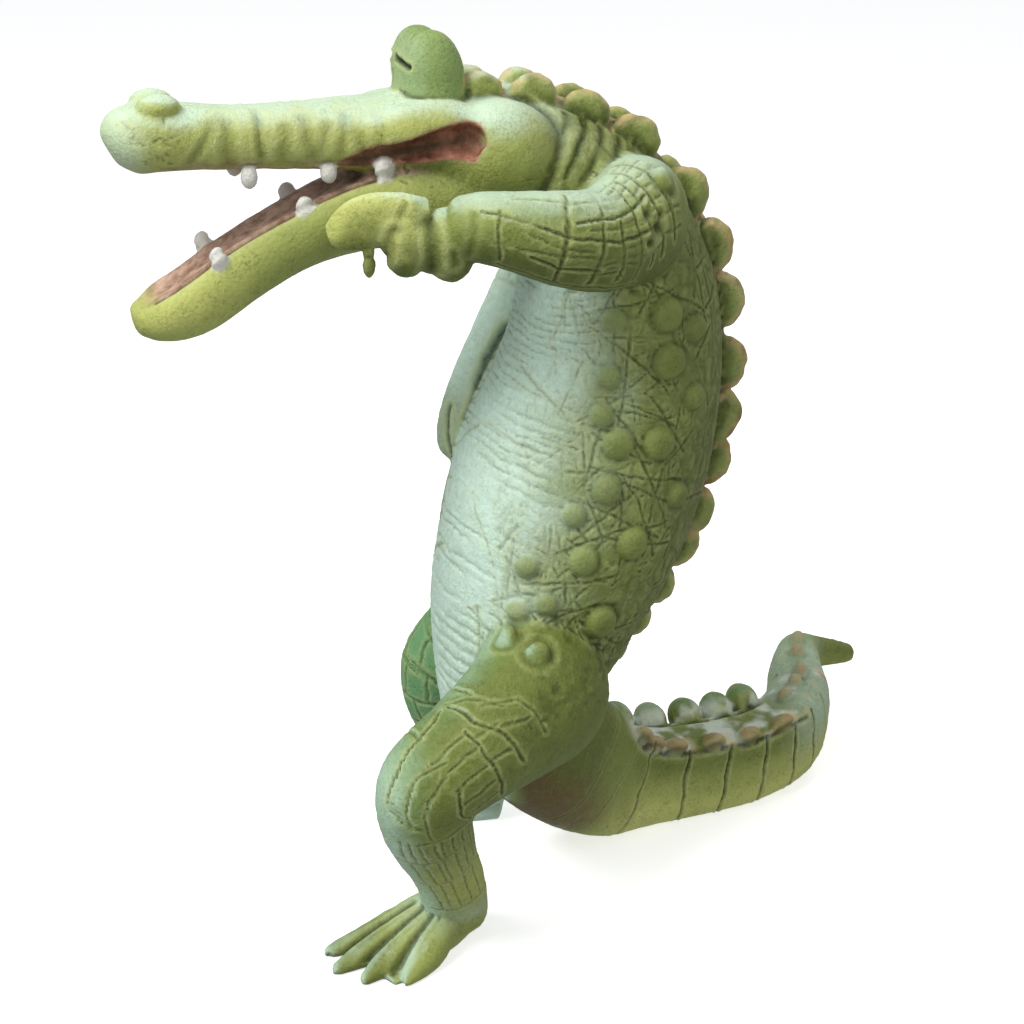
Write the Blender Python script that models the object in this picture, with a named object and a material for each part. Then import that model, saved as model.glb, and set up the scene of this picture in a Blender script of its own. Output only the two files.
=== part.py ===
"""A laughing crocodile that stands upright on two feet and its tail: one cast figure, painted all over.

The figure faces -Y, its left side is +X, and the soles lie on Z = 0. Every place and radius below is in
units of the figure's own drawing, on which it is 284 units tall, so one size sets the whole figure.
"""

import math

import bmesh
import bpy
import numpy as np
from mathutils import Matrix, Vector
from mathutils.bvhtree import BVHTree

# Driving sizes

HEIGHT = 0.284
DRAWN_HEIGHT = 284.0
UNIT = HEIGHT / DRAWN_HEIGHT

# The middle of the figure's box on the drawing, which is moved over the origin
BOX_CENTRE_X = -12.1
BOX_CENTRE_Y = 26.5

# How finely the cast is made: the grid of the soft masses, the grid of the carved ones, and the facets kept
SOFT_GRID = 2.2
CARVED_GRID = 1.3
SOFT_PASSES = 7
CARVED_PASSES = 2
FACETS = 9000
SHARP_ANGLE = 40

PAINT = (0.36, 0.47, 0.25, 1.0)
PAINT_ROUGHNESS = 0.55

# Masses of the body
# Each row is a station of a loft: x, y, z of its centre, its half width and its half depth.

TORSO = (
    (-6, 1, 50, 17, 14),
    (-6, 1, 62, 26, 21),
    (-6, 3.5, 84, 34, 26.5),
    (-5, 9, 104, 36, 33),
    (-4, 18.5, 130, 36, 39),
    (-3, 28, 157, 34, 38.5),
    (-2, 34, 186, 31, 34),
    (-1, 32.5, 210, 29, 29.5),
    (0, 25, 228.5, 26, 24),
    (0, 11, 241, 25, 19.5),
    (0, -5, 248, 24, 18),
    (0, -20, 252, 22, 14.5),
    (0, -32, 254, 17, 10.5),
)
TORSO_SQUARENESS = 2.1

UPPER_JAW = (
    (0, -20, 256, 20, 12),
    (0, -34, 256, 18, 11),
    (0, -48, 256, 15.5, 10),
    (0, -64, 256.5, 14, 9),
    (0, -82, 257, 12.5, 8.5),
    (0, -95, 258, 12, 9),
    (0, -105, 258.5, 12.5, 9.5),
    (0, -112, 257, 11, 9),
    (0, -116, 255, 6, 5),
)

LOWER_JAW = (
    (0, -10, 238, 21, 12),
    (0, -30, 237.5, 20, 13.5),
    (0, -48, 235.5, 17, 12.5),
    (0, -66, 229.5, 14.5, 10.5),
    (0, -82, 221.5, 13, 10.5),
    (0, -95, 213.5, 13, 10.5),
    (0, -105, 209.5, 12.5, 8.5),
    (0, -113, 208, 6, 4.5),
)
JAW_SQUARENESS = 2.4
TROUGH_DEPTH = 0.45

TAIL = (
    (-6, 2, 60, 20, 18),
    (-9, 12, 50, 21, 22),
    (-16, 26, 36.5, 18.5, 23.5),
    (-23, 42, 22.5, 15.5, 20.5),
    (-27.5, 60, 17, 13, 17.5),
    (-29, 80, 15.7, 13.5, 16.5),
    (-31.5, 101, 15.3, 13.8, 16),
    (-39, 121, 16.5, 13, 16),
    (-51.5, 133.5, 20, 12, 15.5),
    (-64, 139, 25, 10.5, 14),
    (-74, 146, 29, 8, 10.5),
    (-77, 154, 29, 5.6, 6.5),
    (-77, 164, 27, 4.6, 4.8),
    (-77, 171, 26, 3.6, 3.6),
)
TAIL_SQUARENESS = 2.8

NEAR_ARM = (
    (18, 33, 230, 15, 18),
    (29, 26, 231, 14, 18),
    (38, 13, 229, 12.5, 15),
    (42, 0, 231, 12, 13.5),
    (41, -12, 233.5, 11, 11.5),
    (38, -22, 235, 9.5, 10),
    (34, -30, 234, 8, 9),
)

FAR_ARM = (
    (-20, 34, 230, 15, 16),
    (-31, 31, 224, 13, 14),
    (-37, 23, 208, 10, 11),
    (-36, 14, 192, 9.5, 10),
    (-32, 5, 178, 9.5, 9.5),
    (-28, -3, 166, 9, 8.5),
    (-24, -9, 155, 8, 7.5),
    (-21, -12, 148, 5, 5),
)

NEAR_LEG = (
    (16, 7, 90, 18, 17),
    (25, 1, 87, 25, 19.5),
    (34, -12, 83, 22, 17),
    (41, -28, 77.5, 18, 15.5),
    (44, -42, 70, 16, 14.5),
    (41, -42.5, 58, 14.5, 13.5),
    (35, -38.5, 46, 13, 12.5),
    (28, -33.5, 34, 11.5, 11),
    (23, -29, 22, 11, 10.5),
    (20, -27, 12, 11, 10),
    (19, -26, 4, 10, 9),
)

FAR_LEG = (
    (-24, 9, 86, 18, 17),
    (-33, 5, 80, 22, 17),
    (-40, -2, 74, 18, 15.5),
    (-44, -9, 65, 15, 14),
    (-46, -8, 52, 14, 13),
    (-48, -2, 36, 12.5, 12),
    (-50, 5, 22, 11.5, 11),
    (-50, 9, 8, 11.5, 11),
)

FINGER = (
    (33, -36, 238, 4, 5),
    (31, -44, 238, 3.5, 7),
    (28.5, -52, 237, 3, 7.5),
    (26, -58, 234.5, 2.6, 6),
    (24, -62, 233, 2, 3),
)

# The corner of the mouth is cut back between the lips, on both sides
MOUTH_CORNER = (
    (24, -16.5, 256, 3, 1.5),
    (23, -20, 256, 5, 5),
    (22, -28, 255, 5, 4.2),
    (19, -38, 252.5, 5, 3.6),
    (16.5, -48, 250.5, 4.5, 3.2),
    (15, -56, 248.5, 3.5, 2),
)

# Round masses that are the same on both sides: centre and radii
CHEEK = ((14, -8, 250), (13, 17, 15.5))
CHEEK_BONE = ((15, -28, 257), (7, 19, 9))
EYE_MOUND = ((6.5, -25.5, 272), (7.5, 8.8, 13))
NOSTRIL = ((5.5, -103, 267), (5, 6, 3.5))

# The block between the two eye mounds
EYE_BRIDGE = ((0, -26, 271.5), (8, 9, 12))

# Round masses of the near hand
CLAW = ((28, -52, 226), (2, 2, 5))
KNUCKLE_AHEAD = ((31, -43, 231), (6, 6.5, 10))
KNUCKLE_BEHIND = ((34, -31, 230), (7, 7.5, 10.5))

# Tilts about X, in degrees
CHEEK_TILT = -14
CHEEK_BONE_TILT = -6
EYE_TILT = 8
KNUCKLE_TILT = 10

# Feet: the heel's place, and the degrees that the toes turn out
NEAR_HEEL = (18, -27)
NEAR_TURN = 22
FAR_HEEL = (-50, 9)
FAR_TURN = -30

# Each station of the sole: how far ahead of the heel, its height, half width and half depth
SOLE = (
    (-5, 4, 6, 5),
    (4, 5, 9, 8),
    (14, 4.5, 10.5, 8),
    (22, 2.5, 12, 5),
    (28, 1.2, 12.5, 3),
    (33, 0.6, 11.5, 2),
)

# Each toe: how far to the outer side, how far ahead of the heel, and its girth
TOES = ((-15, 38, 4.4), (-6, 42, 4.8), (4, 39, 5), (13, 30, 5.6))
TOE_ROOT_REACH = 4
TOE_ROOT_HEIGHT = 11
TOE_ROOT_GIRTH = 5
TOE_MIDDLE_HEIGHT = 4.5
TOE_TIP_HEIGHT = 1.8
TOE_TIP_GIRTH = 2.2

# The toes of the far foot reach less far
FAR_TOE_SHARE = 0.88

# Back plates stand in two rows, from the rump to the skull, and are largest at the middle of the back
PLATES = 15
PLATES_FROM = 0.17
PLATES_TO = 0.93
PLATE_LENGTH = 9.2
PLATE_REACH = 8.4
PLATE_THICKNESS = 3.0
PLATE_ANGLE = 13
PLATE_LIFT = 0.6
PLATE_SMALLEST = 0.55

# The low ridge along the spine that the plates grow out of
RIDGE_WIDTH = 8.5
RIDGE_DEPTH = 4.5
RIDGE_SINK = 1.2

# The tail's crest: two rows of knobs along the edges of its top, then one row down to the tip
CREST_KNOBS = 6
CREST_FROM = 0.25
CREST_TO = 0.60
CREST_ANGLE = 36
RIDGE_KNOBS = 5
RIDGE_TO = 0.86
FAR_KNOB_SCALE = 1.35
FAR_KNOB_LIFT = 2.2
KNOB_LENGTH = 4.9
KNOB_REACH = 5
KNOB_THICKNESS = 3.4

# Rows of round bumps on the flanks: degrees from the spine, radius, and where they sit along the body
FLANK_ROWS = (
    (66, 4.0, (0.42, 0.53, 0.61, 0.765)),
    (84, 5.2, (0.25, 0.353, 0.484, 0.578, 0.634, 0.74)),
    (103, 4.4, (0.192, 0.32, 0.417, 0.469)),
    (114, 3.5, (0.167, 0.21, 0.253, 0.374, 0.50, 0.558, 0.635)),
    (128, 3.6, (0.209, 0.233, 0.295)),
)
BUMP_RISE = 0.44
BUMP_SEARCH = 14.0

# Blunt teeth on both sides: place and length
UPPER_TEETH = ((9.5, -80, 249, 3.2), (11, -58, 249, 3), (13.5, -43, 249.5, 3.4))
LOWER_TEETH = ((10.5, -65, 236.5, 3.2), (10.5, -90, 224, 3.2))
TOOTH_WIDTH = 2.2
TOOTH_ALONG = 2.9
TOOTH_LEAN = 0.55


def spline(rows, parts):
    """Rows of numbers joined by a Catmull-Rom curve, with this many steps from each row to the next."""
    rows = np.asarray(rows, float)
    ends = np.vstack([2 * rows[0] - rows[1], rows, 2 * rows[-1] - rows[-2]])
    out = []
    for i in range(1, len(ends) - 2):
        before, a, b, after = ends[i - 1 : i + 3]
        for step in range(parts):
            t = step / parts
            out.append(
                0.5
                * (
                    2 * a
                    + (b - before) * t
                    + (2 * before - 5 * a + 4 * b - after) * t**2
                    + (3 * a - before - 3 * b + after) * t**3
                )
            )
    out.append(rows[-1])
    return np.array(out)


def frames(centres, up):
    """The tangent, side and up direction at each point of a path."""
    tangents = np.gradient(centres, axis=0)
    tangents /= np.linalg.norm(tangents, axis=1)[:, None]
    sides = np.cross(tangents, np.asarray(up, float))
    sides /= np.linalg.norm(sides, axis=1)[:, None]
    return tangents, sides, np.cross(sides, tangents)


def loft(bm, rows, up, squareness=2.0, trough=0.0, parts=4, corners=28):
    """A closed skin over elliptical sections. The trough hollows the side that faces up."""
    dense = spline(rows, parts)
    _, sides, ups = frames(dense[:, :3], up)
    rings = []
    for row, side, over in zip(dense, sides, ups):
        half_width = max(row[3], 0.5)
        half_depth = max(row[4], 0.5)
        ring = []
        for k in range(corners):
            angle = 2 * math.pi * k / corners
            across = math.copysign(abs(math.cos(angle)) ** (2 / squareness), math.cos(angle))
            above = math.copysign(abs(math.sin(angle)) ** (2 / squareness), math.sin(angle))
            if above > 0:
                above -= trough * math.exp(-((across / 0.6) ** 2))
            ring.append(bm.verts.new(row[:3] + side * across * half_width + over * above * half_depth))
        rings.append(ring)
    for ring, following in zip(rings, rings[1:]):
        for k in range(corners):
            j = (k + 1) % corners
            bm.faces.new((ring[k], ring[j], following[j], following[k]))
    bm.faces.new(reversed(rings[0]))
    bm.faces.new(rings[-1])


def blob(bm, centre, radii, tilt=0.0):
    """An ellipsoid, tilted by these degrees about X."""
    turned = Matrix.Rotation(math.radians(tilt), 4, "X")
    place = Matrix.Translation(Vector(centre)) @ turned @ Matrix.Diagonal((*radii, 1.0))
    bmesh.ops.create_icosphere(bm, subdivisions=3, radius=1.0, matrix=place)


def disc(bm, centre, along, out, length, reach, thickness, flat=False):
    """A thick rounded plate that stands out of the skin. A flat one has level faces and a round rim."""
    along = Vector(along).normalized()
    out = Vector(out)
    out = (out - along * out.dot(along)).normalized()
    across = along.cross(out)
    turned = Matrix((along, out, across)).transposed().to_4x4()
    place = Matrix.Translation(Vector(centre)) @ turned @ Matrix.Diagonal((length, reach, thickness, 1.0))
    for vert in bmesh.ops.create_icosphere(bm, subdivisions=3, radius=1.0)["verts"]:
        u, v, w = vert.co
        if flat:
            w = math.copysign(math.sqrt(max(0, 1 - (u * u + v * v) ** 2)), w)
        vert.co = place @ Vector((u, v, w))


def applied(piece, keep=False):
    """A mesh with the object's modifiers applied. The object goes, or stays without them."""
    bpy.context.view_layer.update()
    mesh = bpy.data.meshes.new_from_object(piece.evaluated_get(bpy.context.evaluated_depsgraph_get()))
    if keep:
        piece.modifiers.clear()
    else:
        bpy.data.objects.remove(piece)
    return mesh


def cast(bm, grid, passes):
    """The masses melted into one skin on a grid, then rubbed smooth."""
    mesh = bpy.data.meshes.new("masses")
    bm.to_mesh(mesh)
    bm.free()
    piece = bpy.data.objects.new("masses", mesh)
    bpy.context.collection.objects.link(piece)
    melt = piece.modifiers.new("melt", "REMESH")
    melt.mode = "VOXEL"
    melt.voxel_size = grid
    rub = piece.modifiers.new("rub", "SMOOTH")
    rub.factor = 0.5
    rub.iterations = passes
    return applied(piece)


def skin_at(rows, up, squareness, share, angle):
    """A point of a loft's skin, its normal and tangent: the share of its length, the degrees from its top."""
    dense = spline(rows, 16)
    tangents, sides, ups = frames(dense[:, :3], up)
    steps = np.linalg.norm(np.diff(dense[:, :3], axis=0), axis=1)
    lengths = np.concatenate([[0], np.cumsum(steps)]) / steps.sum()
    i = int(np.searchsorted(lengths, share).clip(0, len(dense) - 1))
    half_width, half_depth = dense[i, 3], dense[i, 4]
    turn = math.radians(angle)
    across = math.copysign(abs(math.sin(turn)) ** (2 / squareness), math.sin(turn))
    above = math.copysign(abs(math.cos(turn)) ** (2 / squareness), math.cos(turn))
    point = dense[i, :3] - sides[i] * across * half_width + ups[i] * above * half_depth
    lean = math.copysign(abs(across) ** (squareness - 1), across) / half_width
    rise = math.copysign(abs(above) ** (squareness - 1), above) / half_depth
    normal = -sides[i] * lean + ups[i] * rise
    return point, normal / np.linalg.norm(normal), tangents[i]


def soft_masses():
    """The large masses, which flow into each other."""
    bm = bmesh.new()
    loft(bm, TORSO, (0, 1, 1), TORSO_SQUARENESS)
    loft(bm, UPPER_JAW, (0, 0, 1), JAW_SQUARENESS)
    loft(bm, LOWER_JAW, (0, 0, 1), JAW_SQUARENESS, TROUGH_DEPTH)
    loft(bm, TAIL, (0, 0, 1), TAIL_SQUARENESS)
    loft(bm, NEAR_ARM, (0, 0, 1))
    loft(bm, FAR_ARM, (1, 0, 0))
    loft(bm, NEAR_LEG, (1, 0, 0))
    loft(bm, FAR_LEG, (1, 0, 0))
    spine_ridge(bm)
    for side in (1, -1):
        for lump, tilt in ((CHEEK, CHEEK_TILT), (CHEEK_BONE, CHEEK_BONE_TILT), (EYE_MOUND, EYE_TILT)):
            blob(bm, mirrored(lump[0], side), lump[1], tilt)
    blob(bm, *EYE_BRIDGE, EYE_TILT)
    return bm


def mirrored(place, side):
    return (place[0] * side, *place[1:])


def plate_size(share):
    """How large the plates are at this share of the body, where 1 is the largest."""
    return PLATE_SMALLEST + (1 - PLATE_SMALLEST) * math.sin(math.pi * (share - 0.1) / 0.95)


def spine_ridge(bm):
    """The low ridge that the plates grow out of."""
    rows = []
    for share in np.linspace(PLATES_FROM, PLATES_TO, PLATES):
        point, normal, _ = skin_at(TORSO, (0, 1, 1), TORSO_SQUARENESS, share, 0)
        size = plate_size(share)
        rows.append((*(point - normal * RIDGE_SINK), RIDGE_WIDTH * size, RIDGE_DEPTH * size))
    loft(bm, rows, (0, 1, 1))


def cut_mouth(mesh):
    """The skin with the corners of the mouth cut back."""
    piece = bpy.data.objects.new("soft masses", mesh)
    bpy.context.collection.objects.link(piece)
    cutters = []
    for side in (1, -1):
        bm = bmesh.new()
        loft(bm, [mirrored(row, side) for row in MOUTH_CORNER], (0, 0, 1))
        bmesh.ops.recalc_face_normals(bm, faces=bm.faces)
        cutter_mesh = bpy.data.meshes.new("mouth corner")
        bm.to_mesh(cutter_mesh)
        bm.free()
        cutter = bpy.data.objects.new("mouth corner", cutter_mesh)
        cutter.hide_render = True
        cutter.display_type = "WIRE"
        bpy.context.collection.objects.link(cutter)
        cut = piece.modifiers.new("mouth corner", "BOOLEAN")
        cut.operation = "DIFFERENCE"
        cut.object = cutter
        cutters.append(cutter)
    result = applied(piece)
    for cutter in cutters:
        bpy.data.objects.remove(cutter)
    return result


def foot(bm, heel, turn, toe_share=1.0):
    """A flat webbed foot with four toes, which have this share of their full reach."""
    x, y = heel
    lean = math.radians(turn)
    ahead = np.array((math.sin(lean), -math.cos(lean)))
    beside = np.array((math.cos(lean), math.sin(lean))) * math.copysign(1, turn)

    def at(reach, spread, z):
        place = np.array((x, y)) + ahead * reach + beside * spread
        return (place[0], place[1], z)

    loft(bm, [(*at(reach, 0, z), width, depth) for reach, z, width, depth in SOLE], (0, 0, 1))
    for spread, full_reach, girth in TOES:
        reach = full_reach * toe_share
        root = (*at(TOE_ROOT_REACH, spread * 0.3, TOE_ROOT_HEIGHT), TOE_ROOT_GIRTH, TOE_ROOT_GIRTH)
        middle = (*at(reach * 0.6, spread * 0.7, TOE_MIDDLE_HEIGHT), girth, girth)
        tip = (*at(reach, spread, TOE_TIP_HEIGHT), TOE_TIP_GIRTH, TOE_TIP_GIRTH)
        loft(bm, (root, middle, tip), (0, 0, 1))


def plates(bm):
    for share in np.linspace(PLATES_FROM, PLATES_TO, PLATES):
        size = plate_size(share)
        for side in (1, -1):
            point, normal, tangent = skin_at(TORSO, (0, 1, 1), TORSO_SQUARENESS, share, PLATE_ANGLE * side)
            centre = point + normal * PLATE_LIFT
            disc(bm, centre, tangent, normal, PLATE_LENGTH * size, PLATE_REACH * size, PLATE_THICKNESS, True)


def tail_crest(bm):
    rows = []
    for share in np.linspace(CREST_FROM, CREST_TO, CREST_KNOBS):
        rows += [(share, CREST_ANGLE), (share, -CREST_ANGLE)]
    step = (CREST_TO - CREST_FROM) / (CREST_KNOBS - 1)
    rows += [(share, 0) for share in np.linspace(CREST_TO + step, RIDGE_TO, RIDGE_KNOBS)]
    for share, angle in rows:
        size = 1.0 if share < CREST_TO else 0.8
        point, normal, tangent = skin_at(TAIL, (0, 0, 1), TAIL_SQUARENESS, share, angle)
        if angle > 0:
            size = FAR_KNOB_SCALE
            point = point + normal * FAR_KNOB_LIFT
        disc(bm, point, tangent, normal, KNOB_LENGTH * size, KNOB_REACH * size, KNOB_THICKNESS * size)


def flank_bumps(bm, skin):
    """Low round bumps, each set down on whatever skin covers the body there."""
    for angle, radius, shares in FLANK_ROWS:
        for share in shares:
            for side in (1, -1):
                point, normal, tangent = skin_at(TORSO, (0, 1, 1), TORSO_SQUARENESS, share, angle * side)
                start = Vector(point + normal * BUMP_SEARCH)
                found, facing, _, distance = skin.ray_cast(start, Vector(-normal), 2 * BUMP_SEARCH)
                if found is None or facing.dot(Vector(normal)) < 0.3:
                    continue
                disc(bm, found, tangent, facing, radius, radius * BUMP_RISE, radius)


def teeth(bm):
    for row, way in ((UPPER_TEETH, -1), (LOWER_TEETH, 1)):
        for x, y, z, length in row:
            for side in (1, -1):
                centre = (x * side, y, z + way * length * TOOTH_LEAN)
                blob(bm, centre, (TOOTH_WIDTH, TOOTH_ALONG, length))


def carved_masses(soft):
    """The soft skin with everything that stands out of it."""
    bm = bmesh.new()
    bm.from_mesh(soft)
    skin = BVHTree.FromBMesh(bm)
    for side in (1, -1):
        blob(bm, mirrored(NOSTRIL[0], side), NOSTRIL[1])
    blob(bm, *CLAW)
    blob(bm, *KNUCKLE_AHEAD, KNUCKLE_TILT)
    blob(bm, *KNUCKLE_BEHIND, KNUCKLE_TILT)
    loft(bm, FINGER, (0, 0, 1))
    foot(bm, NEAR_HEEL, NEAR_TURN)
    foot(bm, FAR_HEEL, FAR_TURN, FAR_TOE_SHARE)
    plates(bm)
    tail_crest(bm)
    flank_bumps(bm, skin)
    teeth(bm)
    return bm


def stand_flat(piece):
    """Everything under the ground is cut off, which leaves flat soles and a flat strip under the tail."""
    bm = bmesh.new()
    bm.from_mesh(piece.data)
    everything = bm.verts[:] + bm.edges[:] + bm.faces[:]
    ground = {"plane_co": (0, 0, 0), "plane_no": (0, 0, -1)}
    cut = bmesh.ops.bisect_plane(bm, geom=everything, dist=1e-6, clear_outer=True, **ground)
    rim = [item for item in cut["geom_cut"] if isinstance(item, bmesh.types.BMEdge)]
    bmesh.ops.holes_fill(bm, edges=rim, sides=0)
    bmesh.ops.triangulate(bm, faces=[face for face in bm.faces if len(face.verts) > 3])
    bmesh.ops.recalc_face_normals(bm, faces=bm.faces)
    bm.to_mesh(piece.data)
    bm.free()


def painted(piece):
    paint = bpy.data.materials.new("paint")
    paint.use_nodes = True
    shader = paint.node_tree.nodes["Principled BSDF"]
    shader.inputs["Base Color"].default_value = PAINT
    shader.inputs["Roughness"].default_value = PAINT_ROUGHNESS
    piece.data.materials.clear()
    piece.data.materials.append(paint)


def main():
    for old in list(bpy.data.objects):
        bpy.data.objects.remove(old)
    soft = cut_mouth(cast(soft_masses(), SOFT_GRID, SOFT_PASSES))
    shape = cast(carved_masses(soft), CARVED_GRID, CARVED_PASSES)
    crocodile = bpy.data.objects.new("crocodile", shape)
    bpy.context.collection.objects.link(crocodile)
    fewer = crocodile.modifiers.new("facets", "DECIMATE")
    fewer.ratio = FACETS / (2 * len(shape.polygons))
    crocodile.data = applied(crocodile, keep=True)
    crocodile.data.name = "crocodile"
    to_origin = Matrix.Translation((-BOX_CENTRE_X * UNIT, -BOX_CENTRE_Y * UNIT, 0))
    crocodile.data.transform(to_origin @ Matrix.Scale(UNIT, 4))
    stand_flat(crocodile)
    crocodile.data.shade_smooth()
    crocodile.data.set_sharp_from_angle(angle=math.radians(SHARP_ANGLE))
    painted(crocodile)


main()
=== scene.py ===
# %% [markdown]
# # A laughing crocodile, cast in resin and painted by hand
#
# The real figure was modelled in soft clay with fingers, a wire tool and a needle, moulded in
# silicone and cast in resin. It was then sprayed pale mint and olive green, washed with a dark
# brown-green that stayed in the lines, and brushed with cream and rust on the raised edges.
#
# This lesson follows the same order: build up the masses, press the tool lines into the skin,
# then lay the colours on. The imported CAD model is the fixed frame, and it is loaded first. The
# figure here has the same masses as the solid, with the fine modelling that the solid leaves out.

# %% Load the frame and keep the solid's box
import math

import bmesh
import bpy
import numpy as np
from mathutils import Matrix, Vector
from mathutils.bvhtree import BVHTree


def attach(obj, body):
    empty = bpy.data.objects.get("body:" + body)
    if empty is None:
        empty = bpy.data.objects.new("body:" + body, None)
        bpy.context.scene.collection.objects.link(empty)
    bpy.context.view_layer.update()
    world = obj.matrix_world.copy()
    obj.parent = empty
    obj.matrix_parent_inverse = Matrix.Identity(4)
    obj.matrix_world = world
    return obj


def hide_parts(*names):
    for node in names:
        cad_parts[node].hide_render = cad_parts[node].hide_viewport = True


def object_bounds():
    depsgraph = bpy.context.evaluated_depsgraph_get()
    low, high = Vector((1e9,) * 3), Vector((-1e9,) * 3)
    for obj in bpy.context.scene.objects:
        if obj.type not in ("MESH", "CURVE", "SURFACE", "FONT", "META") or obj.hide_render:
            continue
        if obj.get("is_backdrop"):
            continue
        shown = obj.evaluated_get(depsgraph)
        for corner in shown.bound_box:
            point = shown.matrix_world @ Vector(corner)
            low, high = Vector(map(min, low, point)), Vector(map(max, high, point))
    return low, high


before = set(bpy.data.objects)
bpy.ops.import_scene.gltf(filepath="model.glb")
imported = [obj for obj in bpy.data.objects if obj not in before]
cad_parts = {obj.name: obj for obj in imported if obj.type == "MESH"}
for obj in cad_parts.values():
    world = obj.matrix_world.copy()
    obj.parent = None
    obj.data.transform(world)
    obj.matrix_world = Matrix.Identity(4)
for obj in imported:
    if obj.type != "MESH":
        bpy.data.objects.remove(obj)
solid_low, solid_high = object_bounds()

print("solid box in mm:", [round(1000 * v) for v in (*solid_low, *solid_high)])

# %% [markdown]
# ## The drawing
#
# A sculptor works from a drawing with a centre line for every mass. Each row below is one station
# of a mass: where its centre is, then its half width and its half depth. The drawing is 284 units
# tall, and so is the figure in millimetres, so one unit is one millimetre here.

# %% The drawing of the masses
UNIT = 0.284 / 284.0
BOX_CENTRE = np.array((-12.1, 26.5, 0.0))

TORSO = (
    (-6, 1, 50, 17, 14), (-6, 1, 62, 26, 21), (-6, 3.5, 84, 34, 26.5), (-5, 9, 104, 36, 33),
    (-4, 18.5, 130, 36, 39), (-3, 28, 157, 34, 38.5), (-2, 34, 186, 31, 34),
    (-1, 32.5, 210, 29, 29.5), (0, 25, 228.5, 26, 24), (0, 11, 241, 25, 19.5),
    (0, -5, 248, 24, 18), (0, -20, 252, 22, 14.5), (0, -32, 254, 17, 10.5),
)
UPPER_JAW = (
    (0, -20, 256, 20, 12), (0, -34, 256, 18, 11), (0, -48, 256, 15.5, 10), (0, -64, 256.5, 14, 9),
    (0, -82, 257, 12.5, 8.5), (0, -95, 258, 12, 9), (0, -105, 258.5, 12.5, 9.5),
    (0, -112, 257, 11, 9), (0, -116, 255, 6, 5),
)
LOWER_JAW = (
    (0, -10, 238, 21, 12), (0, -30, 237.5, 20, 13.5), (0, -48, 235.5, 17, 12.5),
    (0, -66, 229.5, 14.5, 10.5), (0, -82, 221.5, 13, 10.5), (0, -95, 213.5, 13, 10.5),
    (0, -105, 209.5, 12.5, 8.5), (0, -113, 208, 6, 4.5),
)
TAIL = (
    (-6, 2, 60, 20, 18), (-9, 12, 50, 21, 22), (-16, 26, 36.5, 18.5, 23.5),
    (-23, 42, 22.5, 15.5, 20.5), (-27.5, 60, 17, 13, 17.5), (-29, 80, 15.7, 13.5, 16.5),
    (-31.5, 101, 15.3, 13.8, 16), (-39, 121, 16.5, 13, 16), (-51.5, 133.5, 20, 12, 15.5),
    (-64, 139, 25, 10.5, 14), (-74, 146, 29, 8, 10.5), (-77, 154, 29, 5.6, 6.5),
    (-77, 164, 27, 4.6, 4.8), (-77, 171, 26, 3.6, 3.6),
)
NEAR_ARM = (
    (18, 33, 230, 15, 18), (29, 26, 231, 14, 18), (38, 13, 229, 12.5, 15), (42, 0, 231, 12, 13.5),
    (41, -12, 233.5, 11, 11.5), (38, -22, 235, 9.5, 10), (34, -30, 234, 8, 9),
)
FAR_ARM = (
    (-20, 34, 230, 15, 16), (-31, 31, 224, 13, 14), (-37, 23, 208, 10, 11),
    (-36, 14, 192, 9.5, 10), (-32, 5, 178, 9.5, 9.5), (-28, -3, 166, 9, 8.5),
    (-24, -9, 155, 8, 7.5), (-21, -12, 148, 5, 5),
)
NEAR_LEG = (
    (16, 7, 90, 18, 17), (25, 1, 87, 25, 19.5), (34, -12, 83, 22, 17), (41, -28, 77.5, 18, 15.5),
    (44, -42, 70, 16, 14.5), (41, -42.5, 58, 14.5, 13.5), (35, -38.5, 46, 13, 12.5),
    (28, -33.5, 34, 11.5, 11), (23, -29, 22, 11, 10.5), (20, -27, 12, 11, 10), (19, -26, 4, 10, 9),
)
FAR_LEG = (
    (-24, 9, 86, 18, 17), (-33, 5, 80, 22, 17), (-40, -2, 74, 18, 15.5), (-44, -9, 65, 15, 14),
    (-46, -8, 52, 14, 13), (-48, -2, 36, 12.5, 12), (-50, 5, 22, 11.5, 11), (-50, 9, 8, 11.5, 11),
)
FINGER = (
    (33, -36, 238, 4, 5), (31, -44, 238, 3.5, 7), (28.5, -52, 237, 3, 7.5), (26, -58, 234.5, 2.6, 6),
    (24, -62, 233, 2, 3),
)
MOUTH_CORNER = (
    (24, -16.5, 256, 3, 1.5), (23, -20, 256, 5, 5), (22, -28, 255, 5, 4.2), (19, -38, 252.5, 5, 3.6),
    (16.5, -48, 250.5, 4.5, 3.2), (15, -56, 248.5, 3.5, 2),
)
CHEEK = ((14, -8, 250), (13, 17, 15.5), -14)
CHEEK_BONE = ((15, -28, 257), (7, 19, 9), -6)
EYE_MOUND = ((6.5, -25.5, 272), (7.5, 8.8, 13), 8)
EYE_BRIDGE = ((0, -26, 271.5), (8, 9, 12), 8)
NOSTRIL = ((5.5, -103, 267), (5, 6, 3.5), 0)
CLAW = ((28, -52, 226), (2, 2, 5), 0)
KNUCKLE_AHEAD = ((31, -43, 231), (6, 6.5, 10), 10)
KNUCKLE_BEHIND = ((34, -31, 230), (7, 7.5, 10.5), 10)
PALM = ((32, -37, 230.5), (6.2, 5, 8.6), 10)
NEAR_HEEL = (18, -27, 22)
FAR_HEEL = (-50, 9, -30)
FAR_TOE_SHARE = 0.88
SOLE = (
    (-5, 4, 6, 5), (4, 5, 9, 8), (14, 4.5, 10.5, 8), (22, 2.5, 12, 5), (28, 1.2, 12.5, 3),
    (33, 0.6, 11.5, 2),
)
TOES = ((-15, 38, 4.4), (-6, 42, 4.8), (4, 39, 5), (13, 30, 5.6))
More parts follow.
